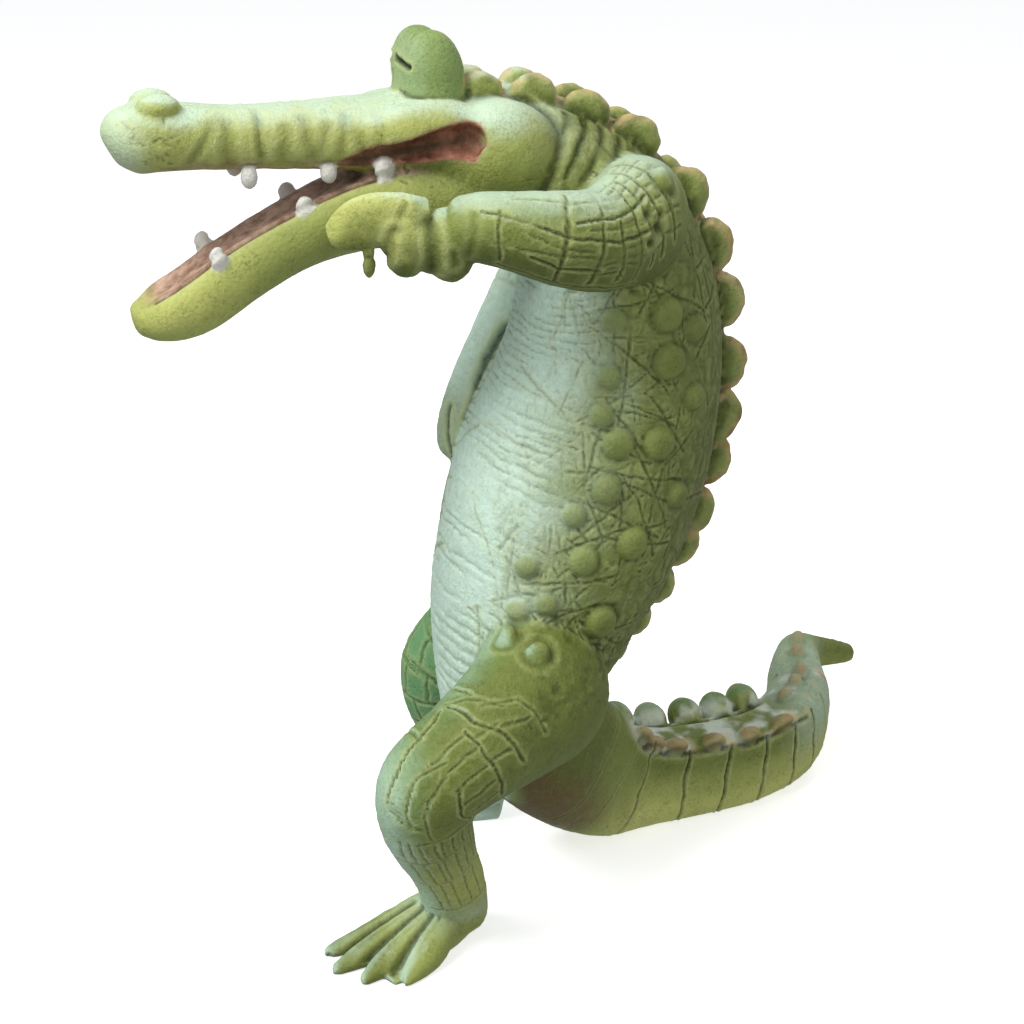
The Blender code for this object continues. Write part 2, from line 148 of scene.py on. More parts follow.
FLANK_ROWS = (
    (66, 4.0, (0.42, 0.53, 0.61, 0.765)),
    (84, 5.2, (0.25, 0.353, 0.484, 0.578, 0.634, 0.74)),
    (103, 4.4, (0.192, 0.32, 0.417, 0.469)),
    (114, 3.5, (0.167, 0.21, 0.253, 0.374, 0.50, 0.558, 0.635)),
    (128, 3.6, (0.209, 0.233, 0.295)),
)
TEETH = (
    (9.5, -80, 249, 3.2, -1), (11, -58, 249, 3, -1), (13.5, -43, 249.5, 3.4, -1),
    (10.5, -65, 236.5, 3.2, 1), (10.5, -90, 224, 3.2, 1),
)
TOOTH_WIDTH, TOOTH_ALONG, TOOTH_LEAN = 2.2, 2.9, 0.55

# How far plates and knobs reach along the back, out of it and across, and their degrees beside its top
PLATE_LENGTH, PLATE_REACH, PLATE_THICKNESS, PLATE_TURN = 9.2, 8.4, 3.0, 13
KNOB_LENGTH, KNOB_REACH, KNOB_THICKNESS, KNOB_TURN = 4.9, 5, 3.4, 36
PLATE_LIFT, KNOB_LIFT, BUMP_RISE = 0.6, 2.2, 0.44
RIDGE_WIDTH, RIDGE_DEPTH, RIDGE_SUNK = 8.5, 4.5, 1.2

# Each mass: its stations, the direction that counts as its top, and how square its section is
MASSES = {
    "torso": (TORSO, (0, 1, 1), 2.1),
    "upper_jaw": (UPPER_JAW, (0, 0, 1), 2.4),
    "lower_jaw": (LOWER_JAW, (0, 0, 1), 2.4),
    "tail": (TAIL, (0, 0, 1), 2.8),
    "near_arm": (NEAR_ARM, (0, 0, 1), 2.0),
    "far_arm": (FAR_ARM, (1, 0, 0), 2.0),
    "near_leg": (NEAR_LEG, (1, 0, 0), 2.0),
    "far_leg": (FAR_LEG, (1, 0, 0), 2.0),
}
print("masses drawn:", ", ".join(MASSES))

# %% [markdown]
# ## From stations to skins
#
# Between two stations the sculptor's thumb makes a smooth run, which a Catmull-Rom curve gives. A
# mass is then a row of rounded sections along that curve. Small lumps are pressed-on balls and
# plates, so they start as round bodies that are stretched and turned into place.

# %% Curves, lofts, lumps and plates
def spline(rows, parts):
    """Rows of numbers joined by a smooth curve, with this many steps from each row to the next."""
    rows = np.asarray(rows, float)
    ends = np.vstack([2 * rows[0] - rows[1], rows, 2 * rows[-1] - rows[-2]])
    t = np.linspace(0, 1, parts, endpoint=False)[:, None]
    out = []
    for before, a, b, after in zip(ends, ends[1:], ends[2:], ends[3:]):
        bend = (2 * before - 5 * a + 4 * b - after) * t**2
        out.append(0.5 * (2 * a + (b - before) * t + bend + (3 * a - before - 3 * b + after) * t**3))
    return np.vstack([*out, rows[-1:]])


def frames(centres, up):
    """The tangent, side and up direction at each point of a path."""
    tangents = np.gradient(centres, axis=0)
    tangents /= np.linalg.norm(tangents, axis=1)[:, None]
    sides = np.cross(tangents, np.asarray(up, float))
    sides /= np.linalg.norm(sides, axis=1)[:, None]
    return tangents, sides, np.cross(sides, tangents)


def loft(bm, rows, up, squareness=2.0, trough=0.0, parts=8, corners=48):
    """A closed skin over rounded sections. The trough hollows the side that faces up."""
    dense = spline(rows, parts)
    _, sides, ups = frames(dense[:, :3], up)
    turn = 2 * np.pi * np.arange(corners) / corners
    across = np.sign(np.cos(turn)) * np.abs(np.cos(turn)) ** (2 / squareness)
    above = np.sign(np.sin(turn)) * np.abs(np.sin(turn)) ** (2 / squareness)
    above -= np.where(above > 0, trough * np.exp(-((across / 0.6) ** 2)), 0)
    rings = []
    for row, side, over in zip(dense, sides, ups):
        wide, deep = max(row[3], 0.5), max(row[4], 0.5)
        spots = row[:3] + np.outer(across * wide, side) + np.outer(above * deep, over)
        rings.append([bm.verts.new(spot) for spot in spots])
    for ring, following in zip(rings, rings[1:]):
        for k in range(corners):
            j = (k + 1) % corners
            bm.faces.new((ring[k], ring[j], following[j], following[k]))
    bm.faces.new(reversed(rings[0]))
    bm.faces.new(rings[-1])


def lump(bm, centre, radii, tilt=0.0):
    """A stretched ball, tilted by these degrees about X."""
    turned = Matrix.Rotation(math.radians(tilt), 4, "X")
    place = Matrix.Translation(Vector(centre)) @ turned @ Matrix.Diagonal((*radii, 1.0))
    bmesh.ops.create_icosphere(bm, subdivisions=4, radius=1.0, matrix=place)


def plate(bm, centre, along, out, length, reach, thickness, flat=False):
    """A thick rounded plate that stands out of the skin. A flat one has level faces and a round rim."""
    along = Vector(along).normalized()
    out = Vector(out)
    out = (out - along * out.dot(along)).normalized()
    turned = Matrix((along, out, along.cross(out))).transposed().to_4x4()
    place = Matrix.Translation(Vector(centre)) @ turned @ Matrix.Diagonal((length, reach, thickness, 1.0))
    for vert in bmesh.ops.create_icosphere(bm, subdivisions=4, radius=1.0)["verts"]:
        u, v, w = vert.co
        if flat:
            w = math.copysign(math.sqrt(max(0, 1 - (u * u + v * v) ** 2)), w)
        vert.co = place @ Vector((u, v, w))


def mirrored(place, side):
    """The same place on the left side, 1, or on the right side, -1."""
    return (place[0] * side, *place[1:])


def in_scene(name, data):
    """A new object in the scene that shows this mesh, lamp or camera."""
    piece = bpy.data.objects.new(name, data)
    bpy.context.collection.objects.link(piece)
    return piece


def from_clay(bm, name):
    """A new object in the scene that takes this clay over."""
    mesh = bpy.data.meshes.new(name)
    bm.to_mesh(mesh)
    bm.free()
    return in_scene(name, mesh)


def applied(piece, keep=False):
    """A mesh with the object's modifiers applied. The object goes, or stays without them."""
    bpy.context.view_layer.update()
    mesh = bpy.data.meshes.new_from_object(piece.evaluated_get(bpy.context.evaluated_depsgraph_get()))
    if keep:
        piece.modifiers.clear()
    else:
        bpy.data.objects.remove(piece)
    return mesh


def melted(bm, grid, passes):
    """The masses melted into one skin on a grid, then rubbed smooth."""
    piece = from_clay(bm, "masses")
    melt = piece.modifiers.new("melt", "REMESH")
    melt.mode = "VOXEL"
    melt.voxel_size = grid
    rub = piece.modifiers.new("rub", "SMOOTH")
    rub.factor = 0.5
    rub.iterations = passes
    return applied(piece)


def skin_at(mass, share, angle):
    """A point of a mass's skin, its normal and tangent: the share of its length, the degrees from its top."""
    rows, up, squareness = MASSES[mass]
    dense = spline(rows, 16)
    tangents, sides, ups = frames(dense[:, :3], up)
    steps = np.linalg.norm(np.diff(dense[:, :3], axis=0), axis=1)
    lengths = np.concatenate([[0], np.cumsum(steps)]) / steps.sum()
    i = int(np.searchsorted(lengths, share).clip(0, len(dense) - 1))
    wide, deep = dense[i, 3], dense[i, 4]
    turn = math.radians(angle)
    across = math.copysign(abs(math.sin(turn)) ** (2 / squareness), math.sin(turn))
    above = math.copysign(abs(math.cos(turn)) ** (2 / squareness), math.cos(turn))
    point = dense[i, :3] - sides[i] * across * wide + ups[i] * above * deep
    lean = math.copysign(abs(across) ** (squareness - 1), across) / wide
    rise = math.copysign(abs(above) ** (squareness - 1), above) / deep
    normal = -sides[i] * lean + ups[i] * rise
    return point, normal / np.linalg.norm(normal), tangents[i]


# %% [markdown]
# ## The soft masses
#
# Torso, jaws, tail, arms and legs are one lump of clay in the end. They are melted into one skin,
# rubbed smooth, and the corners of the laughing mouth are cut back between the lips.

# %% Melt the large masses
SOFT_GRID, SOFT_PASSES = 1.1, 28
TROUGH_DEPTH = 0.45
PLATE_SHARES = np.linspace(0.17, 0.93, 15)


def plate_size(share):
    """How large the plates are at this share of the body, where 1 is the largest."""
    return 0.55 + 0.45 * math.sin(math.pi * (share - 0.1) / 0.95)


bm = bmesh.new()
for mass, (rows, up, squareness) in MASSES.items():
    loft(bm, rows, up, squareness, TROUGH_DEPTH if mass == "lower_jaw" else 0.0)
ridge = []
for share in PLATE_SHARES:
    point, normal, _ = skin_at("torso", share, 0)
    size = plate_size(share)
    ridge.append((*(point - normal * RIDGE_SUNK), RIDGE_WIDTH * size, RIDGE_DEPTH * size))
loft(bm, ridge, (0, 1, 1))
for side in (1, -1):
    for centre, radii, tilt in (CHEEK, CHEEK_BONE, EYE_MOUND):
        lump(bm, mirrored(centre, side), radii, tilt)
lump(bm, *EYE_BRIDGE)
soft_mesh = melted(bm, SOFT_GRID, SOFT_PASSES)

body = in_scene("soft masses", soft_mesh)
cutters = []
for side in (1, -1):
    bm = bmesh.new()
    loft(bm, [mirrored(row, side) for row in MOUTH_CORNER], (0, 0, 1))
    bmesh.ops.recalc_face_normals(bm, faces=bm.faces)
    cutters.append(from_clay(bm, "mouth corner"))
    cut = body.modifiers.new("mouth corner", "BOOLEAN")
    cut.operation = "DIFFERENCE"
    cut.object = cutters[-1]
soft_mesh = applied(body)
for cutter in cutters:
    bpy.data.objects.remove(cutter)
print("soft skin:", len(soft_mesh.vertices), "points")

# %% [markdown]
# ## What stands out of the skin
#
# Two rows of rounded plates run down the back, knobs follow on the tail, and low round bumps sit on
# the flanks. Feet, finger, knuckles, palm, nostrils and the blunt teeth are pressed on as well. The
# places and sizes of plates, knobs, bumps and teeth are kept, because the colours follow them later.

# %% Add the plates, knobs, bumps, feet and teeth
bm = bmesh.new()
bm.from_mesh(soft_mesh)
soft_skin = BVHTree.FromBMesh(bm)
plates = []
for share in PLATE_SHARES:
    length, reach = PLATE_LENGTH * plate_size(share), PLATE_REACH * plate_size(share)
    for side in (1, -1):
        point, normal, tangent = skin_at("torso", share, PLATE_TURN * side)
        plate(bm, point + normal * PLATE_LIFT, tangent, normal, length, reach, PLATE_THICKNESS, True)
        plates.append((point, normal, tangent, reach, length))
knobs = []
for share in np.linspace(0.25, 0.60, 6):
    point, normal, tangent = skin_at("tail", share, -KNOB_TURN)
    knobs.append((point, normal, tangent, 1.0))
    point, normal, tangent = skin_at("tail", share, KNOB_TURN)
    knobs.append((point + normal * KNOB_LIFT, normal, tangent, 1.35))
for share in np.linspace(0.67, 0.86, 5):
    knobs.append((*skin_at("tail", share, 0), 0.8))
for point, normal, tangent, size in knobs:
    plate(bm, point, tangent, normal, KNOB_LENGTH * size, KNOB_REACH * size, KNOB_THICKNESS * size)

bumps = []
for angle, radius, shares in FLANK_ROWS:
    for share in shares:
        for side in (1, -1):
            point, normal, tangent = skin_at("torso", share, angle * side)
            found, outward, _, _ = soft_skin.ray_cast(Vector(point + normal * 14), Vector(-normal), 28)
            if found is not None and outward.dot(Vector(normal)) >= 0.3:
                plate(bm, found, tangent, outward, radius, radius * BUMP_RISE, radius)
                bumps.append((np.array(found), radius))

teeth = []
for side in (1, -1):
    centre, radii, tilt = NOSTRIL
    lump(bm, mirrored(centre, side), radii, tilt)
    for x, y, z, length, way in TEETH:
        centre = (x * side, y, z + way * TOOTH_LEAN * length)
        lump(bm, centre, (0.9 * TOOTH_WIDTH, 0.85 * TOOTH_ALONG, length))
        teeth.append((centre, length))
for centre, radii, tilt in (CLAW, KNUCKLE_AHEAD, KNUCKLE_BEHIND, PALM):
    lump(bm, centre, radii, tilt)
loft(bm, FINGER, (0, 0, 1))


def foot_place(heel, reach, spread, z):
    """A place on a foot: how far ahead of the heel, how far to its outer side, and how high."""
    x, y, turn = heel
    lean = math.radians(turn)
    outer = math.copysign(1, turn)
    return (
        x + math.sin(lean) * reach + math.cos(lean) * spread * outer,
        y - math.cos(lean) * reach + math.sin(lean) * spread * outer,
        z,
    )


for heel, toe_share in ((NEAR_HEEL, 1.0), (FAR_HEEL, FAR_TOE_SHARE)):
    loft(bm, [(*foot_place(heel, reach, 0, z), wide, deep) for reach, z, wide, deep in SOLE], (0, 0, 1))
    for spread, full_reach, girth in TOES:
        reach = full_reach * toe_share
        root = (*foot_place(heel, 4, spread * 0.3, 11), 5, 5)
        middle = (*foot_place(heel, reach * 0.6, spread * 0.7, 4.5), girth, girth)
        tip = (*foot_place(heel, reach - 0.8, spread, 1.8), 2.3, 2.2)
        end = (*foot_place(heel, reach + 0.8, spread, 1.4), 0.9, 0.9)
        loft(bm, (root, middle, tip, end), (0, 0, 1))

SKIN_GRID, SKIN_PASSES = 0.55, 5
skin_mesh = melted(bm, SKIN_GRID, SKIN_PASSES)
print("skin:", len(skin_mesh.vertices), "points,", len(plates), "plates,", len(bumps), "bumps")

# %% [markdown]
# ## Where each point of the skin lies
#
# A tool line is drawn along or around a limb, so every point of the skin needs a place on its limb:
# how far along, and how many degrees from the top. The limb that a point lies on most closely owns
# it. The two counts also say how strongly a mark may show where two limbs flow together.

# %% Measure the skin along and around every mass
count = len(skin_mesh.vertices)
flat = np.empty(count * 3)
skin_mesh.vertices.foreach_get("co", flat)
skin = flat.reshape(-1, 3).copy()
edges = np.empty(len(skin_mesh.edges) * 2, np.int64)
skin_mesh.edges.foreach_get("vertices", edges)
edges = edges.reshape(-1, 2)


def normals_of(points):
    """The skin moved to these points, and which way it faces at each of them."""
    skin_mesh.vertices.foreach_set("co", points.ravel())
    skin_mesh.update()
    out = np.empty(count * 3)
    skin_mesh.vertices.foreach_get("normal", out)
    return out.reshape(-1, 3)


def measured(points, rows, up, squareness):
    """Units along a mass, degrees from its top, and how far out the point is, where 1 is its skin."""
    dense = spline(rows, 16)
    tangents, sides, ups = frames(dense[:, :3], up)
    steps = np.linalg.norm(np.diff(dense[:, :3], axis=0), axis=1)
    lengths = np.concatenate([[0], np.cumsum(steps)])
    nearest = np.empty(len(points), np.int64)
    for start in range(0, len(points), 40000):
        part = points[start : start + 40000]
        square = (dense[:, :3] ** 2).sum(1)[None] - 2 * part @ dense[:, :3].T
        nearest[start : start + 40000] = square.argmin(1)
    away = points - dense[nearest, :3]
    along = lengths[nearest] + (away * tangents[nearest]).sum(1)
    across = -(away * sides[nearest]).sum(1) / dense[nearest, 3]
    above = (away * ups[nearest]).sum(1) / dense[nearest, 4]
    half = squareness / 2
    sine = np.sign(across) * np.abs(across) ** half
    cosine = np.sign(above) * np.abs(above) ** half
    out = (np.abs(across) ** squareness + np.abs(above) ** squareness) ** (1 / squareness)
    beyond = np.maximum(0, np.maximum(-along, along - lengths[-1])) / 20
    girth = (dense[nearest, 3] + dense[nearest, 4]) / 2
    return along, np.degrees(np.arctan2(sine, cosine)), np.hypot(out, beyond), lengths[-1], girth


places = {}
for mass, (rows, up, squareness) in MASSES.items():
    places[mass] = measured(skin, rows, up, squareness)
ratios = np.array([places[mass][2] for mass in MASSES])
owned = {}
for k, mass in enumerate(MASSES):
    others = np.delete(ratios, k, axis=0).min(axis=0)
    owned[mass] = np.clip(0.5 + (others - ratios[k]) / 0.16, 0, 1)
facing = normals_of(skin)
print("points owned:", {mass: int((owned[mass] > 0.5).sum()) for mass in MASSES})

# %% [markdown]
# ## Noise and tools
#
# Hand work is never even. Value noise on a grid makes every line waver and every patch of colour
# uneven, and it is seeded, so each run gives the same figure. The tools are simple: a line pressed
# into the clay is a narrow dent with a low burr on both sides, and the dark wash stays in the dent.

# %% Noise, cells and the pressing tool
def scrambled(cells, seed):
    """A number from 0 to 1 for each cell of a grid."""
    x, y, z = np.moveaxis(cells.astype(np.int64), -1, 0)
    mix = x * 73856093 ^ y * 19349663 ^ z * 83492791 ^ seed * 2654435761
    mix = (mix ^ (mix >> 13)) * 1274126177 & 0xFFFFFFFF
    mix = (mix ^ (mix >> 16)) * 2246822519 & 0xFFFFFFFF
    return (mix ^ (mix >> 15)) / 0xFFFFFFFF


def noise(points, size, seed):
    """Smooth noise from -1 to 1 with lumps of this size."""
    q = points / size
    low = np.floor(q)
    t = q - low
    t = t * t * (3 - 2 * t)
    total = np.zeros(len(points))
    for corner in np.ndindex(2, 2, 2):
        weight = np.prod(np.where(corner, t, 1 - t), axis=1)
        total += weight * scrambled(low + corner, seed)
    return 2 * total - 1


def cell_lines(points, size, seed):
    """The distance from each point to the border between the cells of a loose net."""
    q = points / size
    low = np.floor(q)
    near = np.full((2, len(points)), 9.0)
    for corner in np.ndindex(3, 3, 3):
        cell = low + corner - 1
        centre = cell + np.stack([scrambled(cell, seed + k) for k in range(3)], axis=1)
        reach = np.linalg.norm(q - centre, axis=1)
        near[1] = np.minimum(near[1], np.maximum(near[0], reach))
        near[0] = np.minimum(near[0], reach)
    return (near[1] - near[0]) * size / 2


def ramp(low, high, value):
    """0 at low and 1 at high, with soft ends. With low above high it falls."""
    t = np.clip((value - low) / (high - low), 0, 1)
    return t * t * (3 - 2 * t)


dent, burr, swell, wash_and_painted_shade, light = np.zeros((5, count))
BURR_SHARE = 0.34
FULL_DEPTH = 0.5


def press(where, distance, width, depth, dark=0.8):
    """A tool line: a dent, a burr beside it, the wash in the dent and a dry brush on the burr."""
    shape = np.exp(-((distance / width) ** 2))
    beside = np.exp(-(((distance - 2.0 * width) / (0.9 * width)) ** 2))
    strength = np.minimum(1, depth / FULL_DEPTH)
    dent[where] = np.minimum(dent[where], -depth * shape)
    burr[where] = np.maximum(burr[where], BURR_SHARE * depth * beside)
    wash_and_painted_shade[where] = np.maximum(wash_and_painted_shade[where], dark * shape * strength)
    light[where] = np.maximum(light[where], beside * strength)


def from_line(u, v, start, end):
    """The distance from points on an unrolled skin to a straight stroke."""
    along = np.array(end, float) - start
    t = ((u - start[0]) * along[0] + (v - start[1]) * along[1]) / max(along @ along, 1e-9)
    t = np.clip(t, 0, 1)
    return np.hypot(u - start[0] - t * along[0], v - start[1] - t * along[1])


cover, plated, on_bump = np.zeros((3, count))
for centre, radius in bumps:
    reach = np.linalg.norm(skin - centre, axis=1)
    cover = np.maximum(cover, ramp(radius + 1.0, radius - 0.2, reach))
    on_bump = np.maximum(on_bump, ramp(radius + 0.8, radius - 1.2, reach))
for point, normal, tangent, reach, length in plates:
    away = skin - point
    height = away @ normal
    wide = np.linalg.norm(away - np.outer(height, normal), axis=1)
    on_face = ramp(length + 0.8, length - 0.8, wide) * ramp(0.5, 2.2, height)
    plated = np.maximum(plated, on_face)
cover = np.maximum(cover, plated)

waver = 0.7 * noise(skin, 7, 1) + 0.35 * noise(skin, 2.6, 2)
waver_2 = 0.7 * noise(skin, 7, 3) + 0.35 * noise(skin, 2.6, 4)
broken = 0.4 + 0.6 * ramp(-0.6, 0.0, noise(skin, 6.5, 9))


def strokes(mass, lines, width, depth, dark=0.8, side=0, edge=0.35, whole=False):
    """Strokes on one mass, each from (share, degrees) to (share, degrees). A side keeps them on its half."""
    along, degrees, _, length, girth = places[mass]
    chosen = owned[mass] > edge
    if side:
        chosen = chosen & (degrees * side > 0)
    where = np.flatnonzero(chosen)
    u = along[where] + waver[where]
    typical = float(np.median(girth[where]))
    v = np.radians(degrees[where]) * typical + waver_2[where]
    fade = ramp(edge, edge + 0.3, owned[mass][where]) * (1 - cover[where])
    fade *= 1.0 if whole else broken[where]
    for (share, angle), (to_share, to_angle) in lines:
        start = (share * length, math.radians(angle) * typical)
        end = (to_share * length, math.radians(to_angle) * typical)
        near = from_line(u, v, start, end)
        close = near < 4 * width
        press(where[close], near[close], width, depth * fade[close], dark)


def path(*stops):
    """The strokes that join these places in turn."""
    return list(zip(stops, stops[1:]))


print("noise over the skin runs from", round(float(waver.min()), 2), "to", round(float(waver.max()), 2))

# %% [markdown]
# ## Wrinkles and scratches of the body
#
# The belly has soft folds across it, with finer wrinkles between them. The flanks are scratched with
# a needle: strokes run past the bumps from one to the next, and longer straight ones cross them, so
# that they close into a loose net, which is finer near the plates. Each bump is a low dome in a soft
# ring. The hip is hammered with a small round tool, and the faces of the plates are left rough.

# %% Tool lines on the torso
along, degrees, _, torso_length, _ = places["torso"]
share = along / torso_length
turned = np.abs(degrees)
on_torso = owned["torso"]
FLANK_GIRTH = 34.0
NEEDLE_STROKES, TICKS = 150, 110

belly = on_torso * ramp(98, 140, turned) * ramp(0.02, 0.12, share)
chest = on_torso * ramp(0.6, 0.72, share) * ramp(0.88, 0.84, share)
chest = chest * ramp(70, 95, turned)
folds = np.maximum(belly, 0.6 * chest)
for spacing, height, seed in ((3.6, 0.5, 5), (1.8, 0.12, 8)):
    phase = (along + 1.6 * waver + 1.6 * noise(skin, 18, seed)) / spacing
    crease = np.maximum(0, np.cos(2 * np.pi * phase)) ** 2
    held = ramp(-0.45, 0.3, noise(skin * (0.5, 0.5, 1.6), 9, seed + 1))
    swell -= height * folds * crease * held
    wash_and_painted_shade = np.maximum(wash_and_painted_shade, 0.22 * height * folds * crease * held)

for centre, radius in bumps:
    reach = np.linalg.norm(skin - centre, axis=1)
    close = np.flatnonzero(reach < radius + 4)
    press(close, np.abs(reach[close] - radius - 1.0 + 0.7 * waver[close]), 1.1, 0.28, 0.4)
    dome = np.clip(1 - (reach[close] / (radius + 0.6)) ** 2, 0, 1)
    swell[close] += 0.1 * radius * dome

spots = [
    (share_at * torso_length, math.radians(angle) * FLANK_GIRTH, radius)
    for angle, radius, shares in FLANK_ROWS
    for share_at in shares
]
rng = np.random.default_rng(7)
for side in (1, -1):
    net = []
    for u, v, radius in spots:
        by_reach = sorted(spots, key=lambda spot: math.hypot(spot[0] - u, spot[1] - v))
        for to_u, to_v, to_radius in by_reach[1:5]:
            ahead = np.array((to_u - u, to_v - v)) / math.hypot(to_u - u, to_v - v)
            beside = np.array((-ahead[1], ahead[0])) * rng.choice((-1, 1))
            start = np.array((u, v)) + beside * (radius + 1.5) - ahead * rng.uniform(0, 7)
            end = np.array((to_u, to_v)) + beside * (to_radius + 1.5) + ahead * rng.uniform(0, 7)
            net.append((start, end))
    for _ in range(NEEDLE_STROKES):
        at = (rng.uniform(0.12, 0.8) * torso_length, math.radians(rng.uniform(58, 150)) * FLANK_GIRTH)
        heading = math.radians(rng.choice((15, 55, 80, 97, 125, 160)) + rng.normal(0, 9))
        run = rng.uniform(7, 26) * np.array((math.sin(heading), math.cos(heading)))
        net.append((np.array(at), np.array(at) + run))
    lines = []
    for line in net:
        lines.append([(u / torso_length, side * math.degrees(v / FLANK_GIRTH)) for u, v in line])
    strokes("torso", lines[::2], 0.44, 0.55, 0.55, side)
    strokes("torso", lines[1::2], 0.36, 0.4, 0.45, side)
    beside_plates = path((0.2, 44 * side), (0.5, 52 * side), (0.82, 44 * side))
    strokes("torso", beside_plates, 0.8, 0.34, 0.5, side)
    ticks = []
    for _ in range(TICKS):
        at, angle = rng.uniform(0.28, 0.78), rng.uniform(122, 152)
        ticks.append(((at, side * angle), (at + rng.uniform(0.008, 0.03), side * (angle + rng.normal(0, 2)))))
    strokes("torso", ticks, 0.3, 0.25, 0.55, side)
    neck = [((0.79 + 0.018 * k, 24 * side), (0.80 + 0.02 * k, 88 * side)) for k in range(4)]
    strokes("torso", neck, 0.9, 0.7, 0.75, side)

flank = on_torso * ramp(146, 122, turned)
flank = flank * ramp(0.06, 0.14, share) * ramp(0.84, 0.78, share)
for size, seed, depth in ((6.5, 81, 0.34), (4.0, 83, 0.3), (2.6, 85, 0.22)):
    wrinkle = noise(skin + 0.8 * waver_2[:, None], size, seed)
    held = flank * (1 - cover) * ramp(-0.2, 0.3, noise(skin, 2.2 * size, seed + 1))
    where = np.flatnonzero((np.abs(wrinkle) < 0.5) & (held > 0.02))
    press(where, np.abs(wrinkle[where]) * 0.5 * size, 0.34, depth * held[where], 0.6)

back = on_torso * ramp(108, 80, turned)
back = back * ramp(0.1, 0.16, share) * ramp(0.86, 0.82, share) * (1 - cover)
where = np.flatnonzero(back > 0.05)
scales = cell_lines(skin[where] * (1, 1, 0.8) + 2.0 * waver[where, None], 8.5, 11)
press(where, scales, 0.5, 0.34 * back[where], 0.45)
fine = cell_lines(skin[where] + 1.5 * waver_2[where, None], 4.2, 21)
press(where, fine, 0.4, 0.2 * back[where], 0.35)
hip = ramp(130, 105, skin[:, 2]) * ramp(78, 92, skin[:, 2]) * ramp(128, 105, turned)
hammered = 0.3 * noise(skin, 1.6, 61) + 0.35 * noise(skin, 3.4, 62)
swell += hip * (1 - cover) * hammered
wash_and_painted_shade = np.maximum(wash_and_painted_shade, 0.55 * hip * (1 - cover) * ramp(-0.08, -0.3, hammered))
swell += 0.5 * plated * noise(skin, 2.8, 71)
wash_and_painted_shade = np.maximum(wash_and_painted_shade, 0.5 * plated * ramp(0.2, 0.6, noise(skin, 3.1, 72)))
print("belly points:", int((belly > 0.5).sum()), "net points:", len(where))

# %% [markdown]
# ## Creases of the limbs and the tail
#
# The raised arm has long lines from the wrist to the shoulder, crossed by rings that crowd together
# at the shoulder. The leg has arcs over the thigh, folds round the knee and a brick pattern down the
# shin. The far arm and leg have a plain net of rings and staggered lines. The tail has broad belts
# with a groove between them, and they narrow to the tip.

# %% Lines on the arms, the legs and the tail
def bricks(mass, rings, step, first=0, width=0.5, depth=0.45, dark=0.7):
    """Rings around a limb with staggered lines between them."""
    lines = [((ring, -180), (ring, 180)) for ring in rings]
    for k, (ring, following) in enumerate(zip(rings, rings[1:])):
        for a in np.arange(-180, 180, step) + first + (k % 2) * step / 2:
            a = (a + 180) % 360 - 180
            lines.append(((ring, a), (following, a + 4)))
    strokes(mass, lines, width, depth, dark)


long_lines = path((0.88, 52), (0.74, 66), (0.62, 80), (0.48, 83), (0.30, 78))
long_lines += path((0.60, 60), (0.48, 56), (0.28, 44)) + path((0.72, 112), (0.62, 120), (0.50, 118))
long_lines += path((0.82, 140), (0.6, 150), (0.35, 146)) + path((0.9, -30), (0.5, -40), (0.25, -36))
long_lines += path((0.95, -140), (0.5, -130), (0.2, -130))
strokes("near_arm", long_lines, 0.42, 0.5, 0.8)
thin_lines = path((0.8, 24), (0.62, 34), (0.36, 30)) + path((0.84, 100), (0.66, 104), (0.34, 100))
thin_lines += path((0.74, 80), (0.66, 92), (0.54, 97)) + path((0.56, 70), (0.26, 62))
thin_lines += path((0.5, 12), (0.2, 0))
strokes("near_arm", thin_lines, 0.34, 0.3, 0.55)
rings = [(0.83, 50, 130), (0.63, 12, 150), (0.52, 10, 140), (0.445, 60, 132), (0.375, 0, 135), (0.32, 8, 120)]
rings += [(0.27, -10, 112), (0.21, -20, 100), (0.66, -120, -30), (0.5, -150, -20), (0.35, -150, -30)]
strokes("near_arm", [((ring, a), (ring - 0.012, b)) for ring, a, b in rings], 0.4, 0.46, 0.75)
uprights = [(0.52, 0.445, (34, 44, 110, 124)), (0.445, 0.375, (22, 36, 64, 92, 112))]
uprights += [(0.375, 0.32, (14, 28, 50, 70, 90, 104)), (0.32, 0.27, (6, 22, 38, 56, 72, 88, 102))]
uprights += [(0.27, 0.16, (-8, 8, 24, 40, 56, 74, 92))]
strokes("near_arm", [((a, t), (b, t - 3)) for a, b, turns in uprights for t in turns], 0.34, 0.34, 0.65)
for share_at, angle, radius in ((0.30, 64, 1.5), (0.28, 80, 1.9), (0.315, 92, 1.3), (0.25, 70, 1.2)):
    pit, _, _ = skin_at("near_arm", share_at, angle)
    reach = np.linalg.norm(skin - pit, axis=1)
    close = np.flatnonzero(reach < 3 * radius)
    press(close, reach[close], radius, 1.1, 1.0)

bricks("far_arm", (0.12, 0.2, 0.28, 0.36, 0.44), 42, first=10, depth=0.3, dark=0.4)
strokes("far_arm", path((0.58, -20), (0.7, -26), (0.88, -14)), 1.5, 1.3, 0.7)
strokes("far_arm", path((0.86, -66), (0.95, -52), (1.0, -36)) + path((0.9, -10), (1.0, 10)), 0.9, 0.8, 0.6)

